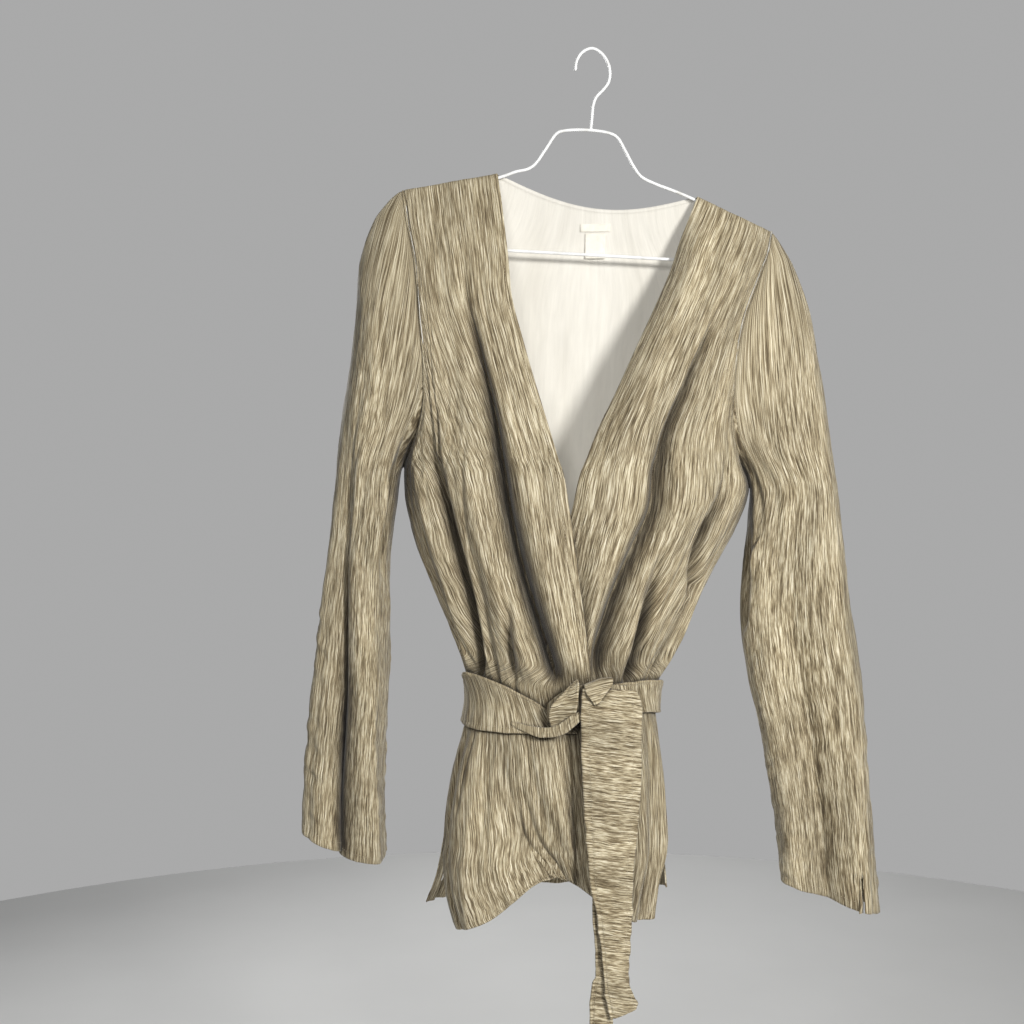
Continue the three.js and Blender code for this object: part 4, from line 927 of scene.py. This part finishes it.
def sleeve_grid(name, columns, rows):
    """A sleeve's points, round from the armhole's top down the front and up the back, and from
    the armhole to the cuff."""
    sign = -1 if name == "right" else 1
    sections, hem = SLEEVE_SECTIONS[name], SLEEVE_HEM[name]
    t, turn = np.meshgrid(rows, np.arange(columns) * 360 / columns, indexing="ij")
    at_front = turn <= 180
    fold_turn = np.where(at_front, turn, 360 - turn)
    angle = np.where(at_front, 180 - fold_turn, 180 + fold_turn)
    start, armpit_z = armhole(name, fold_turn, at_front)
    cos, sin = np.cos(np.radians(angle)), np.sin(np.radians(angle))
    z = mix(start[..., 2], hem["z"] - hem["front"] * sin - hem["inner"] * cos, t)
    place = np.interp(-z, -sections["z"], np.arange(len(sections["z"])))
    out, inn = along(sections, "out", place), along(sections, "in", place)
    depth = np.where(sin > 0, -along(sections, "front", place), along(sections, "back", place))
    height = fold_height(SLEEVE_FOLDS[name], angle, t)
    height = height + fold_height(SLEEVE_CREASES[name], angle, t, power=CREASE_POWER)
    height = height + sleeve_crinkle(angle, t, SLEEVE_SEEDS[name])
    height = height * smooth((start[..., 2] - z) / EASE_HEIGHT)
    half = np.maximum(np.abs(out - inn) / 2, 1)
    nx, ny = -cos * sign / half, -sin / np.maximum(depth, 1)
    size = np.hypot(nx, ny)
    tube = points(
        mix(inn, out, (1 - signed_power(cos, SLEEVE_POWER)) / 2) + nx / size * height,
        -depth * signed_power(sin, SLEEVE_POWER) + ny / size * height,
        z,
    )
    # Beside the armhole the sleeve stays outside the panels.
    beside = smooth((z - armpit_z + EASE_HEIGHT) / EASE_HEIGHT)
    short = np.maximum((start[..., 0] - tube[..., 0]) * sign + 1, 0)
    tube[..., 0] += sign * short * beside
    eased = 1 - (1 - np.clip((start[..., 2] - z) / SLEEVE_BLEND, 0, 1)) ** 2
    eased[0] = 0
    grid = mix(start, tube, eased[..., None])
    # The streaks run nearly straight down, whatever the sleeve's outline does.
    share = np.clip((grid[..., 0] - inn) / np.where(np.abs(out - inn) < 1, sign, out - inn), 0, 1)
    seen = np.degrees(np.arccos(signed_power(1 - 2 * share, 1 / SLEEVE_POWER)))
    seen = np.where(angle > 180, 360 - seen, seen)
    near_seam = smooth(np.minimum(angle, 360 - angle) / 60)
    streak_angle = mix(angle, seen, SLEEVE_STRAIGHT[name] * near_seam)
    return add_allowance(grid, streak_angle, t, sign)


def sleeve_crinkle(angle, t, seed):
    """Fine crinkle along the sleeve, with crosswise wrinkles that grow towards the cuff."""
    u, v = angle / 360 * SLEEVE_GIRTH, t * SLEEVE_LENGTH
    # The seam under the arm is where the angle jumps, so the crinkle fades out beside it.
    seam = smooth(np.minimum(angle, 360 - angle) / 8)
    fine = 0.45 * noise(u / 7, v / 55, seed) + 0.26 * noise(u / 3.6, v / 24, seed + 1)
    cross = noise(u / 26 + v / 60, v / 9, seed + 2) * mix(0.25, 1.1, smooth((t - 0.35) / 0.5))
    broad = 1.3 * noise(u / 30, v / 80, seed + 3) * smooth(t / 0.15)
    return (fine + cross + broad) * mix(0.3, 1, seam)


SLEEVE_COLUMN_COUNT = 144
SLEEVE_STEPS = 210
CUFF_SLIT = {"angle": 121, "from": 0.93, "gape": (-6, -1.5, 0)}
CUFF_FACING = 0.96
CUFF_STITCH = 0.985


def make_sleeve(name, offset):
    node = f"sleeve_{name}"
    grid, angle, t = sleeve_grid(name, SLEEVE_COLUMN_COUNT, np.linspace(0, 1, SLEEVE_STEPS + 1))
    u = (angle / 360 * SLEEVE_GIRTH + offset) * CM
    v = t * SLEEVE_LENGTH * CM
    slit = None
    if name == "left":
        slit = {
            "column": round((180 - CUFF_SLIT["angle"]) * SLEEVE_COLUMN_COUNT / 360),
            "row": 1 + round(CUFF_SLIT["from"] * SLEEVE_STEPS),
            "gape": CUFF_SLIT["gape"],
        }
    flip = name != "right"
    facing = t[:-1] > CUFF_FACING
    piece = shell(f"knit_{node}", grid, u, v, CLOTH_FACES, flip=flip, closed=True, slit=slit, facing=facing)
    stands_for(piece, node)
    cuff = -round((1 - CUFF_STITCH) * SLEEVE_STEPS) - 1
    columns = np.arange(SLEEVE_COLUMN_COUNT)
    if slit:
        columns = np.roll(columns, -slit["column"])[2:-1]
    stitch(node, grid, [(cuff, columns)], flip, closed=True)
    return piece


sleeve_right = make_sleeve("right", 3000)
sleeve_left = make_sleeve("left", 4000)


# The belt


def crests(folds, across, row):
    """Ridges only, and a little to each side of them: the belt spans the valleys."""
    steps = [fold_height(folds, across + step, row) for step in (-0.03, 0, 0.03)]
    return np.maximum(np.maximum(steps[0], steps[1]), np.maximum(steps[2], 0)) * pressed(row)


LAP_MARGIN = 0.25  # in radians: where the left front already lies under the right one's edge


def on_belt(turn, row, lift=0):
    """A point on the belt's outer face at a turn round the waist."""
    out = BELT_GAP + BELT_CLOTH + 0.9 + 0.5 * np.cos(np.radians(turn)) ** 4 + lift
    share = np.clip((turn - 180) / 180, 0, 1)
    face = back(share, row)
    _, _, middle, half = section(row, True)
    nx, ny = (face[..., 0] - middle) / half**2, face[..., 1] / WAIST_DEPTH**2
    size = np.hypot(nx, ny)
    bare = fold_height(BACK_FOLDS, share, row) * pressed(row)
    push = out + crests(BACK_FOLDS, share, row) - bare
    behind = face + points(nx / size * push, ny / size * push, 0 * push)
    right = turn <= 180
    angle = np.radians(np.where(right, turn, turn - 360))
    inner_right = edge_angle(along(MIDDLE, "xRight", row), row)
    inner_left = edge_angle(along(MIDDLE, "xLeft", row), row)
    over = np.clip((np.pi - angle) / (np.pi - inner_right), 0, 1)
    under = np.clip(angle / inner_left, 0, 1)
    own = np.where(right, over, under)
    right_height = crests(FRONT_RIGHT_FOLDS, own, row)
    left_height = crests(FRONT_LEFT_FOLDS, own, row)
    overlapped = ~right & (angle > inner_right - LAP_MARGIN)
    height = out + np.where(right | overlapped, right_height, left_height)
    faces = [front_face(angle, row, side, height) for side in ("right", "left")]
    before = np.where(right[..., None], *faces)
    return np.where(((turn > 180) & (turn < 360))[..., None], behind, before)


SEWN_PLACE = 0.09  # the groove that the stitches press, as a share of the belt's width
BELT_COLUMN_COUNT, BELT_ROW_COUNT = 330, 22
TAIL_COLUMN_COUNT, TAIL_ROW_COUNT = 30, 190
BELT_GRAIN_SLANT, BELT_GRAIN_START = 14, 5000
TAIL_GRAIN_SLANT, TAIL_GRAIN_STRETCH = 0.12, 1.8


def sewn_groove(edge, depth, width):
    return -depth * np.exp(-(((edge - SEWN_PLACE) / width) ** 2))


def make_belt_band():
    place = np.linspace(0, len(BELT["turn"]) - 1, BELT_COLUMN_COUNT + 1)
    place, share = np.meshgrid(place, np.linspace(0, 1, BELT_ROW_COUNT + 1))
    turn = along(BELT, "turn", place)
    row = mix(along(BELT, "top", place), along(BELT, "bottom", place), share)
    length = turn * BELT_PER_DEGREE
    wrinkle = 0.5 * noise(length / 9, share * 2.5, 61) + 0.35 * noise(length / 30, share * 5, 62)
    edge = np.minimum(share, 1 - share)
    lift = wrinkle + sewn_groove(edge, 0.5, 0.03)
    grid = on_belt(turn, row, lift * smooth(edge / 0.05))
    u = (length + BELT_GRAIN_SLANT * share + BELT_GRAIN_START) * CM
    v = share * BELT_WIDTH * CM
    piece = shell("belt_band_knit", grid, u, v, BELT_FACES, thickness=BELT_CLOTH - 0.6, flip=True)
    stands_for(piece, "belt_band")
    stitch("belt_band", grid, [2, -3], flip=True)
    return piece


def make_tail(name, node, rows, bend, offset, seed):
    place = np.linspace(0, len(rows["z"]) - 1, TAIL_ROW_COUNT + 1)
    share, place = np.meshgrid(np.linspace(0, 1, TAIL_COLUMN_COUNT + 1), place)
    left, right = along(rows, "left", place), along(rows, "right", place)
    x = mix(left, right, share)
    z = along(rows, "z", place) - along(rows, "drop", place) * share
    edge = np.minimum(share, 1 - share)
    wrinkle = 0.7 * noise((z + x * 0.25) / 6, x / 26, seed) + 0.9 * noise(z / 40, x / 24, seed + 1)
    lift = (wrinkle + sewn_groove(edge, 0.55, 0.028)) * smooth(edge / 0.04)
    y = along(rows, "y", place) + bend * np.sin(np.pi * share) - lift
    u = (z + x * TAIL_GRAIN_SLANT + offset) * CM
    v = (x + 40) * TAIL_GRAIN_STRETCH * CM
    grid = points(x, y, z)
    piece = shell(name, grid, u, v, BELT_FACES, thickness=BELT_CLOTH)
    stands_for(piece, node)
    stitch(node, grid, [np.s_[:-6, 4], np.s_[:-6, -5], np.s_[-6, 3:-3]])
    return piece


belt_band = make_belt_band()
tail_over = make_tail("belt_tail_over_knit", "belt_tail_over", TAIL_OVER, -1.5, 6000, 71)
tail_under = make_tail("belt_tail_under_knit", "belt_tail_under", TAIL_UNDER, -1, 7000, 81)

# The knot's bands of cloth: the middle of each station, half of its width, and its bow.
BAND_COLUMNS = ("x", "y", "z", "wx", "wy", "wz", "bow")
KNOT_CORE_BAND = table(BAND_COLUMNS, [
    (-40, -63, -622, 0, -1, 9, 1), (-28, -70, -614, 0, -1, 12, 3), (-14, -73, -611, 0, 0, 15, 4),
    (2, -73, -611, 0, 0, 17, 4), (18, -70, -610, 0, 1, 15, 4), (32, -64, -609, 0, 1, 12, 2),
])
KNOT_ARCH_BAND = table(BAND_COLUMNS, [
    (-27, -72, -632, 9, -2, 1, 1), (-27, -75, -623, 11.5, -3, 1, 2),
    (-25.5, -78, -613, 12, -3, 2, 2.5), (-22.5, -79.5, -603, 10, -3, 4, 2.5),
    (-18.5, -79, -596, 6.5, -2, 4, 1.5), (-15.5, -76, -592, 2.5, -1, 2, 0.6),
])
KNOT_STRIP_BAND = table(BAND_COLUMNS, [
    (-72, -56.5, -632, 0, 0.5, 1.5, 0.3), (-52, -67.5, -637, 0, 0.5, 4, 0.8),
    (-38, -73, -637, -0.5, 0.5, 4.5, 1), (-27, -77, -633, -1, 0.5, 5, 1),
    (-18, -79, -626, -1, 0.5, 5, 1), (-11, -79, -621, -1, 0.5, 3, 0.6),
])
KNOT_FLAP_BAND = table(BAND_COLUMNS, [
    (4, -66, -596, 11, 0, 3, 0.5), (4.5, -73, -591, 12, 0, 3, 1),
    (5, -80, -591, 12.5, 0, 3.5, 1.5), (5, -84.5, -596, 11.5, -0.5, 3, 1.5),
    (4, -86, -602, 7.5, -0.5, 2, 1), (3.5, -86.5, -610, 1.5, 0, 0.5, 0.3),
])


def make_band(name, rows, columns, steps, offset, seed):
    """A band of the belt's cloth through its stations, bowed across its width."""
    place = np.linspace(0, len(rows["x"]) - 1, steps + 1)
    share, place = np.meshgrid(np.linspace(-1, 1, columns + 1), place)
    middle = points(*(along(rows, axis, place) for axis in "xyz"))
    half = points(*(along(rows, axis, place) for axis in ("wx", "wy", "wz")))
    tangent = np.gradient(middle, axis=0)
    normal = unit(np.cross(tangent, half))
    length = np.cumsum(np.linalg.norm(tangent, axis=2), axis=0)
    wrinkle = 0.6 * noise(share * 2.5, length / 6, seed)
    bow = along(rows, "bow", place) * (1 - share**2) + wrinkle * (1 - share**4)
    grid = middle + half * share[..., None] + normal * bow[..., None]
    u = (length + offset) * CM
    v = share * np.linalg.norm(half, axis=2) * CM
    piece = shell(name, grid, u, v, BELT_FACES, thickness=KNOT_CLOTH)
    return stands_for(piece, "belt_knot")


make_band("knot_core_knit", KNOT_CORE_BAND, 28, 60, 8000, 91)
make_band("knot_arch_knit", KNOT_ARCH_BAND, 16, 60, 8200, 92)
make_band("knot_strip_knit", KNOT_STRIP_BAND, 14, 60, 8400, 93)
make_band("knot_flap_knit", KNOT_FLAP_BAND, 24, 50, 8600, 94)


# The labels


def back_inside(x, z, lift):
    """The point on the back's inner face at x and z, moved in by lift. It is found in steps by
    the back's width and the height of its rows there."""
    width, row_height, steps = 340, 40, 60
    across, row = 0.5 + 0 * x, 1 + 0 * x
    for _ in range(steps):
        p = back(across, row)
        across = across + (x - p[..., 0]) / width
        row = row - (z - p[..., 2]) / row_height
    p = back(across, row)
    return points(x, p[..., 1] - CLOTH * 1.06 - lift, z)


def make_label(name, node, box, lift, curl):
    share = np.linspace(0, 1, 17)
    down = np.linspace(0, 1, 13)
    share, down = np.meshgrid(share, down)
    x, z = mix(box["left"], box["right"], share), mix(box["top"], box["bottom"], down)
    grid = back_inside(x, z, lift + LABEL_CLOTH)
    grid[..., 1] -= curl * down**2 + 0.25 * curl * np.sin(np.pi * share) * down
    piece = shell(name, grid, x * CM, z * CM, (TAPE, TAPE), thickness=LABEL_CLOTH)
    return stands_for(piece, node)


make_label("label_tape", "neck_label", NECK_LABEL, SEAM_GAP, 0.2)
make_label("care_tab_tape", "care_tab", CARE_TAB, 2 * SEAM_GAP, 1.6)


# The hanger, seen from the front: one closed loop of wire and a hook welded to it

HANGER_LOOP = [
    (3, -76.5), (-22, -77), (-29, -79.5),
    (-40, -95), (-50, -109), (-57, -113.5),
    (-68, -116), (-86, -118 - WIRE_DROP), (-130, -125.8 - WIRE_DROP),
    (-166, -132.2 - WIRE_DROP), (-176, -141), (-183, -151),
    (-185.5, -163), (-183, -174), (-177, -183),
    (-163, -186.4), (-76, -191), (88, -200),
    (158, -204), (169, -203), (176.5, -197),
    (178, -189.5), (174, -181.5), (164, -168.3 - WIRE_DROP),
    (135, -154.4 - WIRE_DROP), (105, -140 - WIRE_DROP), (88, -136.5),
    (62, -126.5), (51, -120.5), (44, -111),
    (36, -96), (29, -84), (23, -80),
]
HANGER_HOOK = [
    (3, -77.5), (4.2, -66), (5.5, -53), (8.5, -45), (15, -38),
    (20, -31), (21.5, -22), (19, -11), (12, -2), (4, WIRE_RADIUS),
    (-4.5, -2), (-10, -10), (-11.5, -20),
]


def centripetal(route, closed, steps):
    """Points on the centripetal Catmull-Rom curve through a route."""
    route = np.array(route, float)
    count = len(route)
    if closed:
        route = np.concatenate([route[-1:], route, route[:2]])
    else:
        route = np.concatenate([[2 * route[0] - route[1]], route, [2 * route[-1] - route[-2]]])
    found = []
    for k in range(count if closed else count - 1):
        p = route[k : k + 4]
        knots = np.concatenate([[0], np.cumsum(np.linalg.norm(np.diff(p, axis=0), axis=1) ** 0.5)])
        t = np.linspace(knots[1], knots[2], steps, endpoint=False)[:, None]
        line = [mix(p[i], p[i + 1], (t - knots[i]) / (knots[i + 1] - knots[i])) for i in range(3)]
        curve = [mix(line[i], line[i + 1], (t - knots[i]) / (knots[i + 2] - knots[i])) for i in range(2)]
        found.append(mix(curve[0], curve[1], (t - knots[1]) / (knots[2] - knots[1])))
    found = np.concatenate(found)
    return found if closed else np.concatenate([found, route[-2:-1]])


def make_wire(name, route, closed, sides=14, steps=9):
    """A round wire in the hanger's plane, with round ends."""
    path = centripetal(route, closed, steps)
    if closed:
        tangent = np.roll(path, -1, axis=0) - np.roll(path, 1, axis=0)
    else:
        tangent = np.gradient(path, axis=0)
    tangent = unit(tangent)
    side = np.stack([-tangent[:, 1], tangent[:, 0]], axis=1)
    turn = np.arange(sides) * 2 * np.pi / sides
    reach = np.full(len(path), WIRE_RADIUS)
    if not closed:
        reach[[0, -1]] *= 0.5
    ring_side = side[:, None] * (np.cos(turn)[None, :, None] * reach[:, None, None])
    depth = np.sin(turn)[None, :] * reach[:, None]
    grid = points(path[:, None, 0] + ring_side[..., 0], depth, path[:, None, 1] + ring_side[..., 1])
    count = len(path)
    index = np.arange(count * sides).reshape(count, sides)
    beyond = np.roll(index, -1, axis=0) if closed else index[1:]
    here = index if closed else index[:-1]
    quads = np.stack([here, beyond, np.roll(beyond, -1, axis=1), np.roll(here, -1, axis=1)], axis=-1)
    faces = quads.reshape(-1, 4).tolist()
    if not closed:
        faces += [index[0].tolist(), index[-1][::-1].tolist()]
    uvs = np.stack(np.meshgrid(np.arange(sides) * 0.1, np.arange(count) * 0.3), axis=-1).reshape(-1, 2)
    piece = make_mesh(name, grid.reshape(-1, 3), faces, uvs, np.zeros(len(faces), int), (COATING,))
    return stands_for(piece, "hanger")


make_wire("hanger_loop_wire", HANGER_LOOP, True)
make_wire("hanger_hook_wire", HANGER_HOOK, False)


# Stage, light and camera


def make_stage():
    """A round, plain pale floor below the hanging garment."""
    floor_z, radius, middle_y, sides = -1.5, 2.4, 0.3, 96
    turn = np.arange(sides) * 2 * np.pi / sides
    mesh = bpy.data.meshes.new("stage")
    ring = [(radius * np.cos(a), middle_y + radius * np.sin(a), floor_z) for a in turn]
    mesh.from_pydata(ring, [], [range(sides)])
    mesh.materials.append(plain("pale_floor", (0.66, 0.66, 0.65), 0.9))
    piece = bpy.data.objects.new("stage", mesh)
    bpy.context.scene.collection.objects.link(piece)


def add_light(name, place, target, size, power, color):
    data = bpy.data.lights.new(name, "AREA")
    data.shape = "DISK"
    data.size = size
    data.energy = power
    data.color = color
    light = bpy.data.objects.new(name, data)
    light.location = place
    light.rotation_euler = (Vector(target) - Vector(place)).to_track_quat("-Z", "Y").to_euler()
    light.visible_camera = False
    bpy.context.scene.collection.objects.link(light)


def add_world():
    """A dim soft fill for the cloth, behind which the views see a plain pale grey."""
    world = bpy.context.scene.world or bpy.data.worlds.new("world")
    bpy.context.scene.world = world
    world.use_nodes = True
    nodes, link = world.node_tree.nodes, world.node_tree.links.new
    fill, seen = nodes["Background"], nodes.new("ShaderNodeBackground")
    for node, color, strength in ((fill, (0.8, 0.83, 0.88, 1), 0.05), (seen, (0.4, 0.4, 0.4, 1), 1)):
        node.inputs[0].default_value = color
        node.inputs[1].default_value = strength
    mixed = nodes.new("ShaderNodeMixShader")
    link(nodes.new("ShaderNodeLightPath").outputs["Is Camera Ray"], mixed.inputs[0])
    link(fill.outputs[0], mixed.inputs[1])
    link(seen.outputs[0], mixed.inputs[2])
    link(mixed.outputs[0], nodes["World Output"].inputs[0])


def add_camera():
    data = bpy.data.cameras.new("camera")
    data.sensor_width = 36
    data.lens = 43.56
    data.clip_end = 20
    camera = bpy.data.objects.new("camera", data)
    camera.location = (-0.07576, -1.18, -0.44004)
    camera.rotation_euler = (np.pi / 2, 0, 0)
    bpy.context.scene.collection.objects.link(camera)
    bpy.context.scene.camera = camera


make_stage()
CHEST = (0, 0, -0.45)
add_light("key", (0.75, -1.5, 0.0), CHEST, 0.35, 33, (1, 0.985, 0.955))
add_light("front", (-0.35, -1.65, 0.1), CHEST, 0.4, 10, (1, 0.99, 0.97))
add_light("floor_behind", (0, 2.3, 0.7), (0, 2.3, -1.5), 2.4, 34, (1, 1, 1))
add_light("floor_in_front", (0, -1.9, -0.1), (0, -1.9, -1.5), 1.6, 10, (1, 1, 1))
add_light("back", (-1.0, 1.8, 0.1), CHEST, 0.8, 14, (1, 1, 1))
add_world()
bpy.context.scene.view_settings.view_transform = "Standard"
add_camera()
